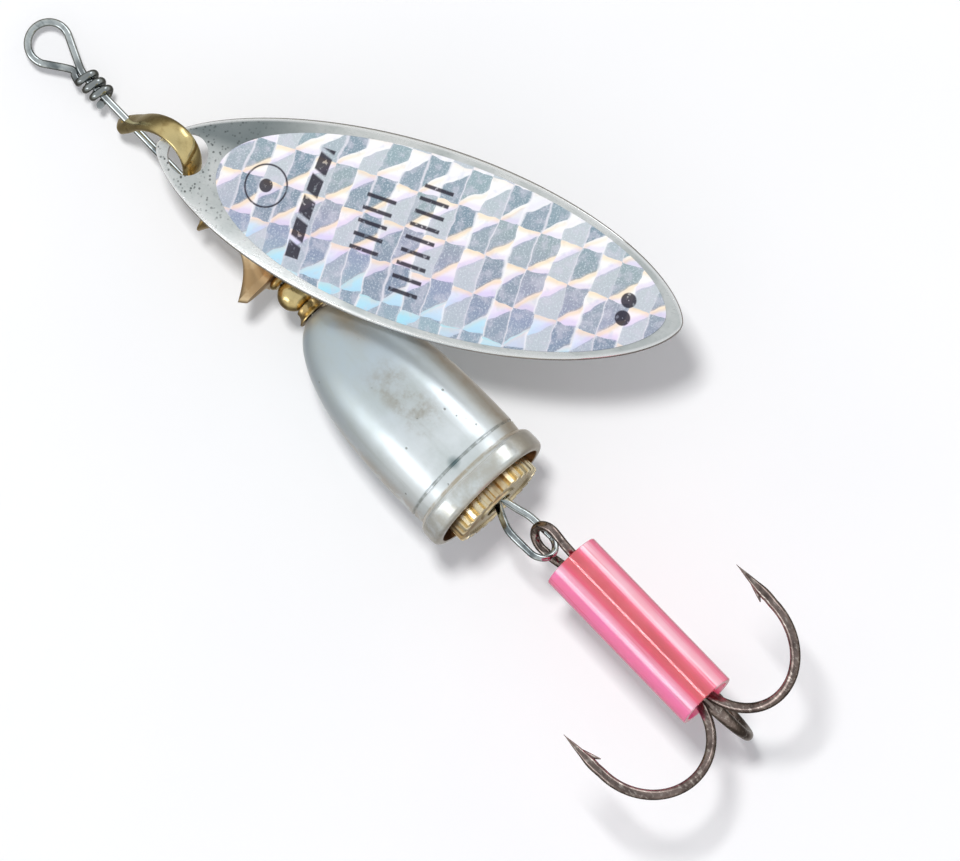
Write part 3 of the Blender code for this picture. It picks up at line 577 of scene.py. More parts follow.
def finish_piece(name, shape, material, body, node, smooth_angle=35.0, stands_for=True):
    """Turn a bmesh into a piece that rides on a body, and hide the CAD node it stands for unless told not to.
    """
    bmesh.ops.recalc_face_normals(shape, faces=shape.faces[:])
    piece = add_mesh(name, shape)
    shade_smooth(piece.data, smooth_angle)
    for item in material if isinstance(material, list) else [material]:
        piece.data.materials.append(item)
    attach(piece, body)
    if stands_for:
        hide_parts(node)
    return piece


def ring_faces(shape, first, second, material_index=0):
    count = len(first)
    for k in range(count):
        after = (k + 1) % count
        face = shape.faces.new((first[k], first[after], second[after], second[k]))
        face.material_index = material_index


def close_rings(shape, rings):
    for k, ring in enumerate(rings):
        ring_faces(shape, ring, rings[(k + 1) % len(rings)])


def cap_rings(shape, rings):
    for first, second in zip(rings[:-1], rings[1:]):
        ring_faces(shape, first, second)
    shape.faces.new(rings[0])
    shape.faces.new(list(reversed(rings[-1])))


def lathe(profile, segments=96, centre=(0.0, 0.0), inner_from=None, wobble=None):
    """A closed profile of radius and height turned about Z. Faces after inner_from take slot 1."""
    shape = bmesh.new()
    rings = []
    for radius, height in profile:
        ring = []
        for k in range(segments):
            angle = TAU * k / segments
            reach = radius
            if wobble:
                reach += wobble(angle, height)
            ring.append(shape.verts.new((
                centre[0] + reach * cos(angle), centre[1] + reach * sin(angle), height)))
        rings.append(ring)
    for k, ring in enumerate(rings):
        inside = inner_from is not None and k >= inner_from
        ring_faces(shape, ring, rings[(k + 1) % len(rings)], 1 if inside else 0)
    return shape


def polar(radius, angle, height=0.0):
    return Vector((radius * cos(angle), radius * sin(angle), height))


def upward(height):
    return Vector((0.0, 0.0, height))


def arc(centre, radius, start, end, count):
    points = []
    for k in range(count + 1):
        angle = radians(start + (end - start) * k / count)
        points.append((centre[0] + radius * cos(angle), centre[1] + radius * sin(angle)))
    return points


def box_of(node):
    low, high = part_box(node)
    return Vector(low), Vector(high)


# ---------------------------------------------------------------- blade and foil

def blade_axes():
    along = (BLADE_TAIL - BLADE_HOLE).normalized()
    outward = Vector((0.0, -1.0, 0.0))
    across = along.cross(outward).normalized()
    if across.x < 0.0:
        across = -across
    outward = (outward - along * outward.dot(along)).normalized()
    return along, across, outward


def blade_length():
    return (BLADE_TAIL - BLADE_HOLE).length + BLADE_TIP_PAST_HOLE


def leaf_width(part, narrow_power, tail_power):
    widest = narrow_power / (narrow_power + tail_power)
    full = widest ** narrow_power * (1.0 - widest) ** tail_power
    inside = min(max(part, 0.0), 1.0)
    return inside ** narrow_power * (1.0 - inside) ** tail_power / full


def blade_part(distance):
    return min(max((distance + BLADE_TIP_PAST_HOLE) / blade_length(), 0.0), 1.0)


def blade_half_width(distance):
    return BLADE_HALF_WIDTH * leaf_width(blade_part(distance), BLADE_NARROW_POWER, BLADE_TAIL_POWER)


def blade_height(distance, sideways):
    half = max(blade_half_width(distance), 0.001 * MM)
    rise = sin(pi * blade_part(distance) ** 0.85) ** 1.1
    return BLADE_DOME * rise * max(1.0 - (sideways / half) ** 2, 0.0)


def blade_lean(distance):
    return BLADE_LEAN * sin(pi * blade_part(distance) ** 0.6)


def foil_half_width(distance):
    end = blade_length() - BLADE_TIP_PAST_HOLE - FOIL_TAIL_MARGIN
    part = (distance - FOIL_START) / (end - FOIL_START)
    return FOIL_HALF_WIDTH * leaf_width(part, 0.50, 0.56)


def leaf_shape(start, end, half_width, shift, levels, rows, columns):
    """A domed plate. levels gives (height off the dome, share of the half width) from back to front."""
    along, across, outward = blade_axes()
    shape = bmesh.new()
    flat = shape.loops.layers.uv.new("plate")
    rim = shape.loops.layers.uv.new("rim")
    places = {}
    edges = {}
    sheets = []
    for level, share in levels:
        grid = []
        for i in range(rows + 1):
            part = 0.5 - 0.5 * cos(pi * i / rows)
            middle = (start + end) / 2.0
            distance = middle + (start + (end - start) * part - middle) * (1.0 - (1.0 - share) * 0.35)
            count = 0 if i in (0, rows) else columns
            line = []
            for j in range(count + 1):
                slide = sin(pi * (j / columns - 0.5)) if count else 0.0
                sideways = shift * sin(pi * part) + slide * half_width(distance) * share
                height = blade_height(distance, sideways) + level
                lean = blade_lean(distance)
                vertex = shape.verts.new(
                    BLADE_HOLE + along * distance + across * (sideways + lean) + outward * height)
                places[vertex] = ((sideways + lean) / MM, distance / MM)
                edges[vertex] = ((1.0 - abs(slide) * share) * half_width(distance) / MM, part)
                line.append(vertex)
            grid.append(line)
        sheets.append(grid)
    for grid in (sheets[0], sheets[-1]):
        for i in range(rows):
            for j in range(columns):
                if i == 0:
                    shape.faces.new((grid[0][0], grid[1][j], grid[1][j + 1]))
                elif i == rows - 1:
                    shape.faces.new((grid[i][j], grid[i][j + 1], grid[rows][0]))
                else:
                    shape.faces.new((grid[i][j], grid[i][j + 1], grid[i + 1][j + 1], grid[i + 1][j]))
    rims = []
    for grid in sheets:
        rims.append([line[0] for line in grid] + [line[-1] for line in reversed(grid[1:-1])])
    for lower, upper in zip(rims[:-1], rims[1:]):
        ring_faces(shape, lower, upper)
    for face in shape.faces:
        for loop in face.loops:
            loop[flat].uv = places[loop.vert]
            loop[rim].uv = edges[loop.vert]
    loose = [vertex for vertex in shape.verts if not vertex.link_faces]
    bmesh.ops.delete(shape, geom=loose, context="VERTS")
    return shape


def cut_hole(piece, place, direction, radius, depth, segments=96):
    """Cut a round hole right through a piece and keep the result as its mesh."""
    cutter_shape = bmesh.new()
    bmesh.ops.create_cone(
        cutter_shape, cap_ends=True, segments=segments, radius1=radius, radius2=radius, depth=depth)
    turn = upward(1.0).rotation_difference(direction).to_matrix().to_4x4()
    bmesh.ops.transform(cutter_shape, matrix=Matrix.Translation(place) @ turn, verts=cutter_shape.verts[:])
    cutter = add_mesh("hole_cutter", cutter_shape)
    step = piece.modifiers.new("hole", "BOOLEAN")
    step.operation = "DIFFERENCE"
    step.solver = "EXACT"
    step.object = cutter
    bpy.context.view_layer.update()
    graph = bpy.context.evaluated_depsgraph_get()
    made = bpy.data.meshes.new_from_object(piece.evaluated_get(graph))
    piece.modifiers.clear()
    piece.data = made
    bpy.data.objects.remove(cutter, do_unlink=True)
    shade_smooth(made, 35.0)


def make_blade():
    half = BLADE_THICKNESS / 2.0
    levels = [(-half, 0.975), (-half * 0.72, 0.993), (0.0, 1.0), (half * 0.72, 0.993), (half, 0.975)]
    shape = leaf_shape(
        -BLADE_TIP_PAST_HOLE, blade_length() - BLADE_TIP_PAST_HOLE, blade_half_width, 0.0, levels, 90, 40)
    piece = finish_piece("blade_plate", shape, blade_material(), "blade_body", "blade", 40.0)
    cut_hole(piece, BLADE_HOLE, blade_axes()[2], BLADE_HOLE_RADIUS, 6.0 * MM)


def make_foil():
    base = BLADE_THICKNESS / 2.0 + FOIL_GAP
    levels = [(base, 1.0), (base + FOIL_THICKNESS * 0.7, 1.0), (base + FOIL_THICKNESS, 0.994)]
    end = blade_length() - BLADE_TIP_PAST_HOLE - FOIL_TAIL_MARGIN
    shape = leaf_shape(FOIL_START, end, foil_half_width, FOIL_SHIFT, levels, 90, 36)
    finish_piece("blade_sticker", shape, foil_material(), "blade_body", "blade_foil")


# ---------------------------------------------------------------- clevis

def make_clevis():
    """A bent strip with a crowned outer face and rounded tab ends, drilled for the shaft."""
    outward = Vector((sin(CLEVIS_TURN), -cos(CLEVIS_TURN), 0.0))
    across = polar(1.0, CLEVIS_TURN)
    up = upward(1.0)
    half = CLEVIS_WIDTH / 2.0
    path = []
    tab = 10
    for k in range(tab):
        path.append((CLEVIS_TAB_END + (CLEVIS_BOW_START - CLEVIS_TAB_END) * (k / tab) ** 1.6, 1.0))
    for k in range(65):
        angle = radians(90.0 - 180.0 * k / 64)
        path.append((CLEVIS_BOW_START + CLEVIS_BOW_DEPTH * cos(angle), sin(angle)))
    for k in range(tab):
        back = ((k + 1) / tab) ** (1.0 / 1.6)
        path.append((CLEVIS_BOW_START + (CLEVIS_TAB_END - CLEVIS_BOW_START) * back, -1.0))
    centres = []
    for depth, lift in path:
        height = CLEVIS_MIDDLE_Z + CLEVIS_HALF_HEIGHT * lift - CLEVIS_DROOP * depth
        if lift > 0.0 and depth < CLEVIS_FLARE_START:
            part = (CLEVIS_FLARE_START - depth) / (CLEVIS_FLARE_START - CLEVIS_TAB_END)
            height += CLEVIS_FLARE * part ** 1.5
        centres.append(Vector((depth, height)))
    shape = bmesh.new()
    rings = []
    sides = 28
    for k, centre in enumerate(centres):
        before = centres[max(k - 1, 0)]
        after = centres[min(k + 1, len(centres) - 1)]
        run = (after - before).normalized()
        normal = outward * -run.y + up * run.x
        arm = min(max((1.8 * MM - centre.x) / (1.5 * MM), 0.0), 1.0) if path[k][1] > 0.0 else 0.0
        left = min((centre.x - CLEVIS_TAB_END) / half, 1.0)
        width = half * sqrt(max(1.0 - (1.0 - left) ** 2, 0.0004))
        ring = []
        for j in range(sides):
            angle = TAU * j / sides
            c, s = cos(angle), sin(angle)
            flat_x = copysign(abs(c) ** (0.85 if s > 0.0 else 0.60), c)
            flat_y = copysign(abs(s) ** (1.05 if s > 0.0 else 0.50), s)
            point = outward * centre.x + up * centre.y
            point += across * (width * flat_x)
            point += normal * (CLEVIS_THICKNESS / 2.0 * flat_y * (1.0 + 0.40 * arm))
            ring.append(shape.verts.new(point))
        rings.append(ring)
    cap_rings(shape, rings)
    material = metal(
        "clevis_brass", rgb(232, 212, 154), rgb(160, 134, 78), 0.20, 1500.0, (1.0, 1.0, 0.5), 0.45, 0.5)
    piece = finish_piece("clevis_strip", shape, material, "clevis_body", "clevis", 50.0)
    cut_hole(piece, upward(CLEVIS_MIDDLE_Z), up, BORE_RADIUS, 12.0 * MM, 48)


# ---------------------------------------------------------------- beads, spur wheel, bell, toothed wheel

def make_beads():
    brass_a = metal("bead_brass", rgb(236, 214, 156), rgb(160, 130, 78), 0.19, 1600.0, (1.0, 1.0, 1.0), 0.5,
        0.4)
    brass_b = metal("collar_brass", rgb(222, 194, 136), rgb(156, 126, 78), 0.26, 1600.0, (1.0, 1.0, 1.0), 0.6,
        0.5)
    low, high = box_of("thrust_bead")
    reach = high.x
    middle = (low.z + high.z) / 2.0 + 0.045 * MM
    profile = [(0.70 * MM, high.z), (0.80 * MM, high.z - 0.06 * MM)]

    def slope(share, rise):
        return 0.84 * MM + (reach - 0.94 * MM) * share ** 1.6, middle + rise * (0.86 - 0.78 * share ** 0.7)

    profile += [slope(k / 12.0, high.z - middle) for k in range(13)]
    profile += arc((reach - 0.09 * MM, middle), 0.09 * MM, 50.0, -50.0, 6)
    profile += [slope(1.0 - k / 12.0, low.z - middle) for k in range(13)]
    profile += [(0.80 * MM, low.z + 0.06 * MM), (0.70 * MM, low.z), (BORE_RADIUS, low.z), (BORE_RADIUS, high.z)]
    finish_piece("thrust_bead_turned", lathe(profile), brass_b, "thrust_body", "thrust_bead", 30.0)
    low, high = box_of("spacer_bead")
    edge = high.x
    profile = [(edge - 0.24 * MM, high.z)]
    profile += arc((edge - 0.26 * MM, (low.z + high.z) / 2.0), 0.26 * MM, 75.0, -75.0, 12)
    profile += [(edge - 0.24 * MM, low.z), (BORE_RADIUS, low.z), (BORE_RADIUS, high.z)]
    finish_piece("spacer_bead_turned", lathe(profile, 72), brass_a, "spacer_body", "spacer_bead", 40.0)
    low, high = box_of("round_bead")
    middle = (low.z + high.z) / 2.0
    profile = []
    for k in range(41):
        angle = radians(60.0 - 120.0 * k / 40)
        profile.append((high.x * cos(angle), middle + 1.28 * MM * sin(angle)))
    profile += [(BORE_RADIUS, profile[-1][1]), (BORE_RADIUS, profile[0][1])]
    finish_piece("round_bead_turned", lathe(profile, 96), brass_a, "round_body", "round_bead", 40.0)
    low, high = box_of("collar")
    tall = high.z - low.z
    profile = [(0.84 * MM, high.z)] + arc((0.84 * MM, high.z - 0.10 * MM), 0.10 * MM, 80.0, 0.0, 5)
    for k in range(13):
        share = k / 12.0
        profile.append((0.95 * MM + (high.x - 0.95 * MM) * share ** 2.2, high.z - tall * (0.18 + 0.72 * share)))
    profile += [(high.x, low.z), (BORE_RADIUS, low.z), (BORE_RADIUS, high.z)]
    finish_piece("collar_turned", lathe(profile, 96), brass_b, "collar_body", "collar", 40.0)


def make_spur_wheel():
    """A hub flared into four wings with a hollowed upper side and a flat rear face."""
    low, high = box_of("spur_wheel")
    count = 160
    levels = 34
    wings = 4
    first = radians(192.0)
    neck, valley, tip = 0.80 * MM, 1.75 * MM, 3.60 * MM
    flare_top = high.z - 1.55 * MM
    rim = low.z + 0.50 * MM
    shape = bmesh.new()
    rings = []
    heights = [high.z, high.z - 0.05 * MM, flare_top + 0.6 * MM]
    heights += [flare_top + (rim - flare_top) * k / levels for k in range(levels + 1)]
    heights += [rim - 0.14 * MM, rim - 0.30 * MM, low.z + 0.05 * MM, low.z]
    for index, height in enumerate(heights):
        flare = min(max((flare_top - height) / (flare_top - rim), 0.0), 1.0)
        below = max((rim - height) / (rim - low.z), 0.0)
        ring = []
        for k in range(count):
            angle = TAU * k / count + first
            wing = abs(cos(0.5 * wings * (angle - first))) ** 3.0
            edge = valley + (tip - valley) * wing
            radius = neck + (edge - neck) * flare ** 1.9
            radius *= 1.0 - 0.12 * below
            if index == 0:
                radius -= 0.05 * MM
            ring.append(shape.verts.new(polar(radius, angle, height)))
        rings.append(ring)
    for height in (low.z, high.z):
        rings.append([shape.verts.new(polar(BORE_RADIUS, TAU * k / count + first, height)) for k in range(
            count)])
    close_rings(shape, rings)
    material = metal(
        "spur_brass", rgb(252, 226, 184), rgb(214, 178, 132), 0.34, 1400.0, (1.0, 1.0, 0.6), 0.5, 0.4)
    finish_piece("spur_wheel_cast", shape, material, "spur_body", "spur_wheel", 45.0)


def bell_curve_radius(height, full_radius):
    top, length, power = -30.00 * MM, 15.00 * MM, 2.60
    part = min(max((top - height) / length, 0.0), 1.0)
    return full_radius * sqrt(1.0 - (1.0 - part) ** power)


def make_bell():
    low, high = box_of("bell")
    ring = high.x
    body = ring - 0.40 * MM
    mouth = ring - 0.72 * MM
    top, mouth_z = high.z, low.z
    groove, step = top - 16.10 * MM, top - 17.05 * MM
    curve_end = -45.0 * MM
    profile = []
    steps = 60
    for k in range(steps + 1):
        height = top + (curve_end - top) * (k / steps) ** 1.6
        profile.append((bell_curve_radius(height, body), height))
    profile += [(body, groove + 0.20 * MM), (body - 0.02 * MM, groove + 0.13 * MM)]
    profile += arc((body - 0.02 * MM, groove), 0.13 * MM, 110.0, 250.0, 8)
    profile += [(body - 0.02 * MM, groove - 0.13 * MM), (body - 0.05 * MM, groove - 0.22 * MM)]
    profile += [(body - 0.10 * MM, step + 0.20 * MM), (body - 0.14 * MM, step + 0.03 * MM)]
    profile += arc((ring - 0.66 * MM, step - 0.66 * MM), 0.64 * MM, 72.0, 2.0, 12)
    profile += [(ring - 0.005 * MM, mouth_z + 0.72 * MM)]
    profile += arc((ring - 0.48 * MM, mouth_z + 0.46 * MM), 0.46 * MM, -4.0, -88.0, 12)
    inner_from = len(profile)
    profile += arc((mouth + 0.05 * MM, mouth_z + 0.06 * MM), 0.05 * MM, 260.0, 180.0, 4)
    profile += [(mouth - 0.05 * MM, mouth_z + 0.40 * MM)]
    inner = body - 0.55 * MM
    profile += [(inner, step), (inner, curve_end)]
    inner_top = top - 0.9 * MM
    for k in range(1, 25):
        height = inner_top + (curve_end - inner_top) * (1.0 - k / 24.0) ** 1.5
        profile.append((bell_curve_radius(height + 0.45 * MM, inner), height))
    profile += [(BORE_RADIUS, inner_top), (BORE_RADIUS, top)]

    def dents(angle, height):
        spot = polar(2.2, angle, height / MM * 0.35)
        return (noise.noise(spot) * 0.018 - 0.012) * MM

    inside = metal("bell_inside", rgb(176, 138, 98), rgb(92, 62, 42), 0.38, 900.0, (1.0, 1.0, 1.0), 0.7, 0.6)
    finish_piece(
        "bell_shell", lathe(profile, 160, inner_from=inner_from, wobble=dents),
        [bell_material(), inside], "bell_body", "bell", 38.0)


def make_toothed_wheel():
    """Brass wheel with bevelled teeth, a dished rear face and a short hub round the wires."""
    low, high = box_of("toothed_wheel")
    teeth = 30
    tip = high.x
    root = tip - 0.42 * MM
    pitch = TAU / teeth
    soft = 0.07 * MM
    shape = bmesh.new()
    outline = ((-0.40, root), (-0.33, root), (-0.26, tip - 0.10 * MM), (-0.20, tip), (0.20, tip),
               (0.26, tip - 0.10 * MM), (0.33, root), (0.40, root))
    rings = []

    def add_ring(height, shrink=0.0, plain=None):
        """A ring that follows the teeth, shrunk a little, or a plain round one with as many points."""
        rings.append([
            shape.verts.new(polar(plain or radius + shrink, (tooth + offset) * pitch, height))
            for tooth in range(teeth) for offset, radius in outline])

    for height, shrink in ((high.z, -soft), (high.z - soft, 0.0), (low.z + soft, 0.0), (low.z, -soft)):
        add_ring(height, shrink)
    bore = 1.15 * MM
    for radius, height in (
            (root - 0.25 * MM, low.z), (root - 0.40 * MM, low.z + 0.12 * MM), (1.75 * MM, low.z + 0.12 * MM),
            (1.65 * MM, low.z), (bore + 0.05 * MM, low.z), (bore, low.z + 0.06 * MM), (bore, high.z)):
        add_ring(height, plain=radius)
    close_rings(shape, rings)
    material = metal(
        "wheel_brass", rgb(255, 240, 204), rgb(206, 168, 112), 0.26, 1500.0, (1.0, 1.0, 0.3), 0.4, 0.3)
    finish_piece("toothed_wheel_cut", shape, material, "wheel_body", "toothed_wheel", 30.0)


def make_spacer_tube():
    low, high = box_of("spacer_tube")
    outer = high.x
    soft = 0.06 * MM
    inner = outer - 0.40 * MM
    profile = [
        (outer - soft, high.z), (outer, high.z - soft), (outer, low.z + soft), (outer - soft, low.z),
        (inner, low.z), (inner, high.z)]
    material = metal(
        "tube_brass", rgb(200, 172, 112), rgb(116, 90, 52), 0.30, 1500.0, (1.0, 1.0, 0.2), 0.5, 0.4)
    finish_piece("spacer_tube_drawn", lathe(profile, 72), material, "tube_body", "spacer_tube", 30.0)


# ---------------------------------------------------------------- wires, hooks and tube

def sweep(shape, points, radius, scales=None, sides=24):
    """Add a round wire along points, given in millimetres, with softened closed ends."""
    points = [Vector(point) for point in points]
    scales = list(scales or [1.0] * len(points))
    for end, inner in ((0, 1), (-1, -2)):
        gap = (points[inner] - points[end]).length
        if scales[end] > 0.5:
            soft = points[end].lerp(points[inner], min(0.25 * radius / gap, 0.5))
            place = 1 if end == 0 else len(points) - 1
            points.insert(place, soft)
            scales.insert(place, scales[end])
            scales[end] *= 0.75
    last = len(points) - 1
    tangents = [(points[min(k + 1, last)] - points[max(k - 1, 0)]).normalized() for k in range(last + 1)]
    side = tangents[0].orthogonal().normalized()
    rings = []
    for point, tangent, scale in zip(points, tangents, scales):
        side = (side - tangent * side.dot(tangent)).normalized()
        other = tangent.cross(side)
        ring = []
        for j in range(sides):
            angle = TAU * j / sides
            reach = side * cos(angle) + other * sin(angle)
            ring.append(shape.verts.new((point + reach * (radius * scale)) * MM))
        rings.append(ring)
    cap_rings(shape, rings)


def smooth_path(points, steps):
    """A Catmull-Rom path through the points."""
    path = []
    last = len(points) - 1
    for k in range(last):
        before, here = points[max(k - 1, 0)], points[k]
        there, after = points[k + 1], points[min(k + 2, last)]
        for j in range(steps):
            u = j / steps
            path.append(0.5 * (
                2.0 * here + (there - before) * u
                + (2.0 * before - 5.0 * here + 4.0 * there - after) * u * u
                + (3.0 * here - before - 3.0 * there + after) * u * u * u))
    path.append(points[last])
    return path


def shaft_path():
    """The wire's centre line: tag end, wraps, line eye, shaft, rear loop, doubled end."""
    top = []
    wrap_steps = int(WRAP_TURNS * 20)
    for k in range(wrap_steps + 1):
        back = WRAP_TURNS * (1.0 - k / wrap_steps)
        angle = pi + TAU * back
        top.append(Vector((WRAP_RADIUS * cos(angle), WRAP_RADIUS * sin(angle), WRAP_TOP_Z - WRAP_PITCH * back)))
    top += [Vector((-0.50, 0.10, NECK_Z - 0.45)), Vector((-0.34, 0.12, NECK_Z))]
    for k in range(29):
        angle = radians(212.0 - 244.0 * k / 28)
        top.append(Vector((
            EYE_CENTRE_X + EYE_RADIUS * cos(angle), 0.0, EYE_CENTRE_Z + EYE_RADIUS * sin(angle))))
    top += [Vector((0.34, -0.06, NECK_Z)), Vector((0.12, -0.02, NECK_Z - 0.55)), upward(WRAP_TOP_Z)]
    across = polar(1.0, LOOP_TURN)
    low = [
        upward(HUB_Z + 1.0), upward(HUB_Z + 0.3) - 0.12 * across,
        Vector((0.02, 0.0, HUB_Z - 0.8)) - 0.72 * across, Vector((0.08, 0.0, HUB_Z - 1.9)) - 1.18 * across]
    for k in range(19):
        angle = radians(180.0 + 10.0 * k)
        low.append(LOOP_CENTRE + across * (LOOP_HALF_WIDTH * cos(angle)) + upward(LOOP_HALF_WIDTH * sin(angle)))
    low += [
        Vector((0.10, 0.0, HUB_Z - 1.9)) + 1.24 * across, Vector((0.04, 0.0, HUB_Z - 0.8)) + 0.96 * across,
        DOUBLED_OFFSET * across + upward(HUB_Z + 0.4),
        DOUBLED_OFFSET * across + upward(HUB_Z + 1.4)]
    end = DOUBLED_OFFSET * across + upward(DOUBLED_END_Z)
    return smooth_path(top, 3) + smooth_path(low, 4) + [end]


def wire_material():
    """Bright drawn wire, darkened along the wrap between its turns as painted shade."""
    g = Graph(metal(
        "wire_steel", rgb(210, 217, 218), rgb(102, 112, 116), 0.11, 2600.0, (1.0, 1.0, 0.15), 0.42, 0.4))
    height_mm = g.calc("DIVIDE", g.split(g.coords())[2], MM)
    # Painted shade: the wrap darkened between its turns.
    wrap_shade = g.times(g.step(height_mm, -3.3, -4.2), g.step(height_mm, -7.9, -7.3))
    bright = g.shader.inputs["Base Color"].links[0].from_socket
    g.surface(Base_Color=g.mix(g.times(wrap_shade, 0.50), bright, rgb(58, 60, 62)))
    return g.owner


def make_shaft():
    shape = bmesh.new()
    path = shaft_path()
    worn = [1.0 - (1.0 - LOOP_THINNED) * min(max(LOOP_WORN_Z - point.z, 0.0), 1.0) for point in path]
    sweep(shape, path, WIRE_RADIUS, worn, sides=20)
    finish_piece("shaft_bent_wire", shape, wire_material(), "shaft", "shaft_wire", 60.0)


def hook_direction(azimuth):
    return polar(1.0, radians(azimuth))


def treble_point(direction, reach, height):
    return TREBLE_AXIS + direction * reach + upward(height)


def bend_path(azimuth):
    """From the shank round the bend to the point, with the wire's thickness along it."""
    direction = hook_direction(azimuth)
    path = []
    scales = []
    for k in range(61):
        angle = radians(180.0 + 3.0 * k)
        path.append(treble_point(
            direction, SHANK_RADIUS + BEND_RADIUS * (1.0 + cos(angle)),
            BEND_CENTRE_Z + BEND_RADIUS * sin(angle)))
        scales.append(1.0)
    for k in range(16):
        part = k / 15.0
        path.append(treble_point(
            direction, SHANK_RADIUS + 2.0 * BEND_RADIUS + 0.06, POINT_Z - POINT_LENGTH * (1.0 - part)))
        spear = 1.0 + 0.10 * sin(pi * min(part * 2.4, 1.0))
        scales.append(max((1.0 - part ** 1.45) * spear, 0.06))
    return path, scales


def add_barb(shape, azimuth, raised=0.0):
    """A sliver cut up from the inner side of the point."""
    direction = hook_direction(azimuth)
    tip = SHANK_RADIUS + 2.0 * BEND_RADIUS + 0.06
    points = []
    for k in range(7):
        part = k / 6.0
        points.append(treble_point(
            direction, tip - 0.02 - (BARB_REACH - 0.02) * part ** 1.4, BARB_Z + raised + 1.55 * (1.0 - part)))
    sweep(shape, points, 0.20, [1.0, 1.15, 1.15, 1.05, 0.85, 0.55, 0.22], 14)


def make_double_hook(material):
    left, left_scales = bend_path(HOOK_AZIMUTHS[0])
    right, right_scales = bend_path(HOOK_AZIMUTHS[1])
    across = polar(1.0, RING_TURN)
    shanks = [treble_point(hook_direction(azimuth), SHANK_RADIUS, 0.0) for azimuth in HOOK_AZIMUTHS[:2]]
    rise = RING_TOP_Z - RING_CENTRE_Z
    neck = upward(RING_CENTRE_Z - 1.35)
    ring = [
        shanks[0] + upward(SHANK_TOP_Z - 0.6), shanks[0] + upward(SHANK_TOP_Z + 0.4),
        RING_AXIS - across * 1.04 + neck]
    for k in range(11):
        angle = radians(195.0 - 21.0 * k)
        ring.append(
            RING_AXIS + across * (RING_HALF_WIDTH * cos(angle))
            + upward(RING_CENTRE_Z + rise * sin(angle)))
    ring += [
        RING_AXIS + across * 1.04 + neck,
        shanks[1] + upward(SHANK_TOP_Z + 0.4), shanks[1] + upward(SHANK_TOP_Z - 0.6)]
    middle = smooth_path(ring, 6)
    ring_scales = [1.0 - (1.0 - RING_THINNED) * min(max((point.z - SHANK_TOP_Z - 0.6) / 1.2, 0.0),
        1.0) for point in middle]
    shape = bmesh.new()
    sweep(
        shape, list(reversed(left)) + middle + right, HOOK_WIRE_RADIUS,
        list(reversed(left_scales)) + ring_scales + right_scales)
    add_barb(shape, HOOK_AZIMUTHS[0])
    add_barb(shape, HOOK_AZIMUTHS[1])
    finish_piece("double_hook_bent", shape, material, "treble_body", "double_hook", 60.0)


def make_single_hook(material):
    bend, scales = bend_path(HOOK_AZIMUTHS[2])
    raised = upward(SINGLE_HOOK_RAISE)
    path = [treble_point(hook_direction(HOOK_AZIMUTHS[2]), SHANK_RADIUS, SHANK_TOP_Z)]
    path += [point + raised for point in bend]
    shape = bmesh.new()
    sweep(shape, path, HOOK_WIRE_RADIUS, [1.0] + scales)
    add_barb(shape, HOOK_AZIMUTHS[2], SINGLE_HOOK_RAISE)
    finish_piece("single_hook_bent", shape, material, "treble_body", "single_hook", 60.0)


def make_sleeve():
    low, high = box_of("hook_sleeve")
    centre = ((low.x + high.x) / 2.0, (low.y + high.y) / 2.0)
    outer = (high.x - low.x) / 2.0
    inner = outer - 0.45 * MM
    rows = 28
    tall = high.z - low.z
    soft = 0.05 * MM
    outside = [(outer - soft - 0.02 * MM, high.z), (outer - 0.02 * MM, high.z - soft)]
    for k in range(1, rows):
        outside.append((outer - 0.02 * MM, high.z - tall * k / rows))
    outside += [(outer - 0.02 * MM, low.z + soft), (outer - soft - 0.02 * MM, low.z)]
    inside = [(inner, low.z), (inner, (low.z + high.z) / 2.0), (inner, high.z)]

    def soft_wall(angle, height):
        spot = polar(1.0, angle, height / MM * 0.12)
        return noise.noise(spot) * 0.015 * MM - 0.008 * MM

    finish_piece(
        "hook_tube", lathe(outside + inside, 96, centre, wobble=soft_wall),
        tube_material(), "sleeve_body", "hook_sleeve", 40.0)


def make_braze(material):
    """The tongue of braze that fills the place where the three shanks part."""
    direction = hook_direction(HOOK_AZIMUTHS[2])
    points = [treble_point(direction, 0.05, BEND_CENTRE_Z + 2.2),
        treble_point(direction, 0.05, BEND_CENTRE_Z + 1.9)]
    scales = [0.9, 1.45]
    steps = 26
    for k in range(steps + 1):
        part = k / steps
        angle = radians(180.0 + 74.0 * part)
        reach = SHANK_RADIUS * part + BEND_RADIUS * (1.0 + cos(angle))
        points.append(treble_point(
            direction, reach, BEND_CENTRE_Z + SINGLE_HOOK_RAISE + BEND_RADIUS * sin(angle)))
        scales.append(1.62 - 0.60 * part ** 0.85)
    shape = bmesh.new()
    sweep(shape, points, HOOK_WIRE_RADIUS, scales)
    finish_piece("hook_braze", shape, material, "treble_body", "single_hook", 60.0, False)


# ---------------------------------------------------------------- camera, table and light

def camera_axes():
    forward = Vector((0.0, cos(CAMERA_TILT), sin(CAMERA_TILT)))
    level_up = Vector((0.0, -sin(CAMERA_TILT), cos(CAMERA_TILT)))
    level_right = Vector((1.0, 0.0, 0.0))
    right = level_right * cos(CAMERA_ROLL) - level_up * sin(CAMERA_ROLL)
    up = level_right * sin(CAMERA_ROLL) + level_up * cos(CAMERA_ROLL)
    return right, up, forward


def make_camera():
    right, up, forward = camera_axes()
    data = bpy.data.cameras.new("camera")
    data.sensor_width = SENSOR_WIDTH
    data.lens = CAMERA_LENS
    data.clip_start = 0.01
    data.clip_end = 20.0
    camera = add_object("camera", data)
    distance = CAMERA_WIDTH * CAMERA_LENS / SENSOR_WIDTH
    place = Matrix((right, up, -forward)).transposed().to_4x4()
    place.translation = CAMERA_AIM - forward * distance
    camera.matrix_world = place
    bpy.context.scene.camera = camera


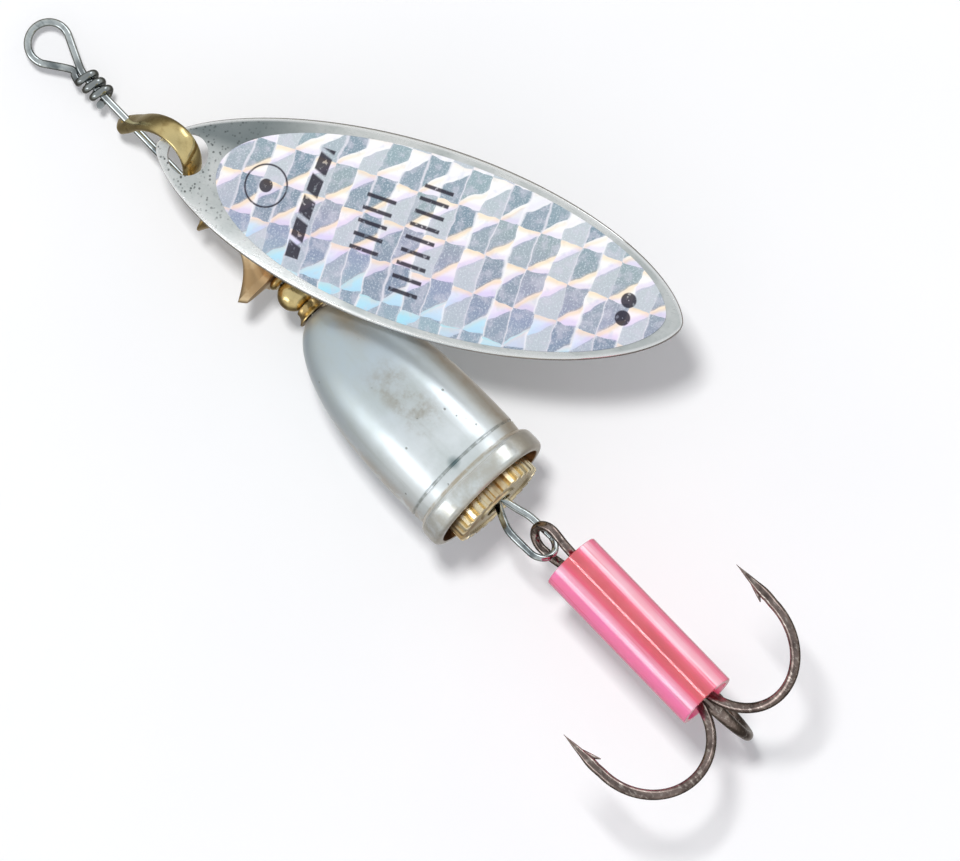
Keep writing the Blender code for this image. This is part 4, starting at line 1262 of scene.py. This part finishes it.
def make_table():
    right, up, forward = camera_axes()
    shape = bmesh.new()
    bmesh.ops.create_grid(shape, x_segments=8, y_segments=8, size=TABLE_SIZE / 2.0)
    table = add_mesh("table", shape)
    place = Matrix((right, up, -forward)).transposed().to_4x4()
    aim = CAMERA_AIM - forward * CAMERA_AIM.dot(forward)
    place.translation = aim + forward * TABLE_DEPTH
    table.matrix_world = place
    table.data.materials.append(table_material())
    table.visible_glossy = False


def make_key():
    """A small soft lamp from the top of the view, aimed at the lure."""
    right, up, forward = camera_axes()
    data = bpy.data.lights.new("key", "AREA")
    data.shape = "RECTANGLE"
    data.size = data.size_y = KEY_SIZE
    data.energy = KEY_POWER
    data.color = KEY_COLOUR
    key = add_object("key", data)
    place = CAMERA_AIM + right * KEY_PLACE[0] + up * KEY_PLACE[1] - forward * KEY_PLACE[2]
    key.location = place
    key.rotation_mode = "QUATERNION"
    key.rotation_quaternion = (CAMERA_AIM - place).to_track_quat("-Z", "Y")
    key.visible_camera = False
    key.visible_glossy = False


def make_room():
    """A pale room, darker behind the lure, with a bright strip on either side of it."""
    world = bpy.data.worlds.new("studio")
    bpy.context.scene.world = world
    g = Graph(world)
    coords = g.new("TexCoord").outputs["Generated"]
    forward = camera_axes()[2]
    behind = g.vector("DOT_PRODUCT", coords, tuple(forward))
    beside = g.vector("DOT_PRODUCT", coords, (1.0, 0.0, 0.0))
    room = g.ramp(g.plus(g.times(behind, 0.5), 0.5), [
        (0.0, (0.60, 0.62, 0.63, 1.0)), (0.25, (0.70, 0.71, 0.71, 1.0)), (0.50, (0.66, 0.65, 0.62, 1.0)),
        (0.68, (0.20, 0.19, 0.16, 1.0)), (0.86, (0.12, 0.11, 0.10, 1.0)), (1.0, (0.42, 0.41, 0.39, 1.0))])
    front = g.step(behind, 0.15, -0.15)
    across = g.abs(g.minus(g.abs(beside), STRIP_BESIDE))
    level = g.vector("DOT_PRODUCT", coords, (0.0, 0.0, 1.0))
    level = g.abs(g.minus(level, STRIP_LEVEL))
    strips = g.times(g.step(across, 0.085, 0.045), g.times(front, g.step(level, 0.38, 0.18)))
    room = g.mix(strips, room, STRIP_COLOUR)
    ray = g.new("LightPath").outputs
    seen = g.mix(ray["Is Diffuse Ray"], room, DIFFUSE_ROOM)
    seen = g.mix(ray["Is Camera Ray"], seen, CAMERA_ROOM)
    g.feed_all(g.tree.nodes["Background"], {"Color": seen, "Strength": 1.0})


bpy.context.scene.view_settings.view_transform = "Standard"
make_camera()
make_table()
make_key()
make_room()
make_blade()
make_foil()
make_clevis()
make_beads()
make_spur_wheel()
make_bell()
make_spacer_tube()
make_toothed_wheel()
make_sleeve()
make_shaft()
bronze = hook_material()
make_double_hook(bronze)
make_single_hook(bronze)
make_braze(bronze)
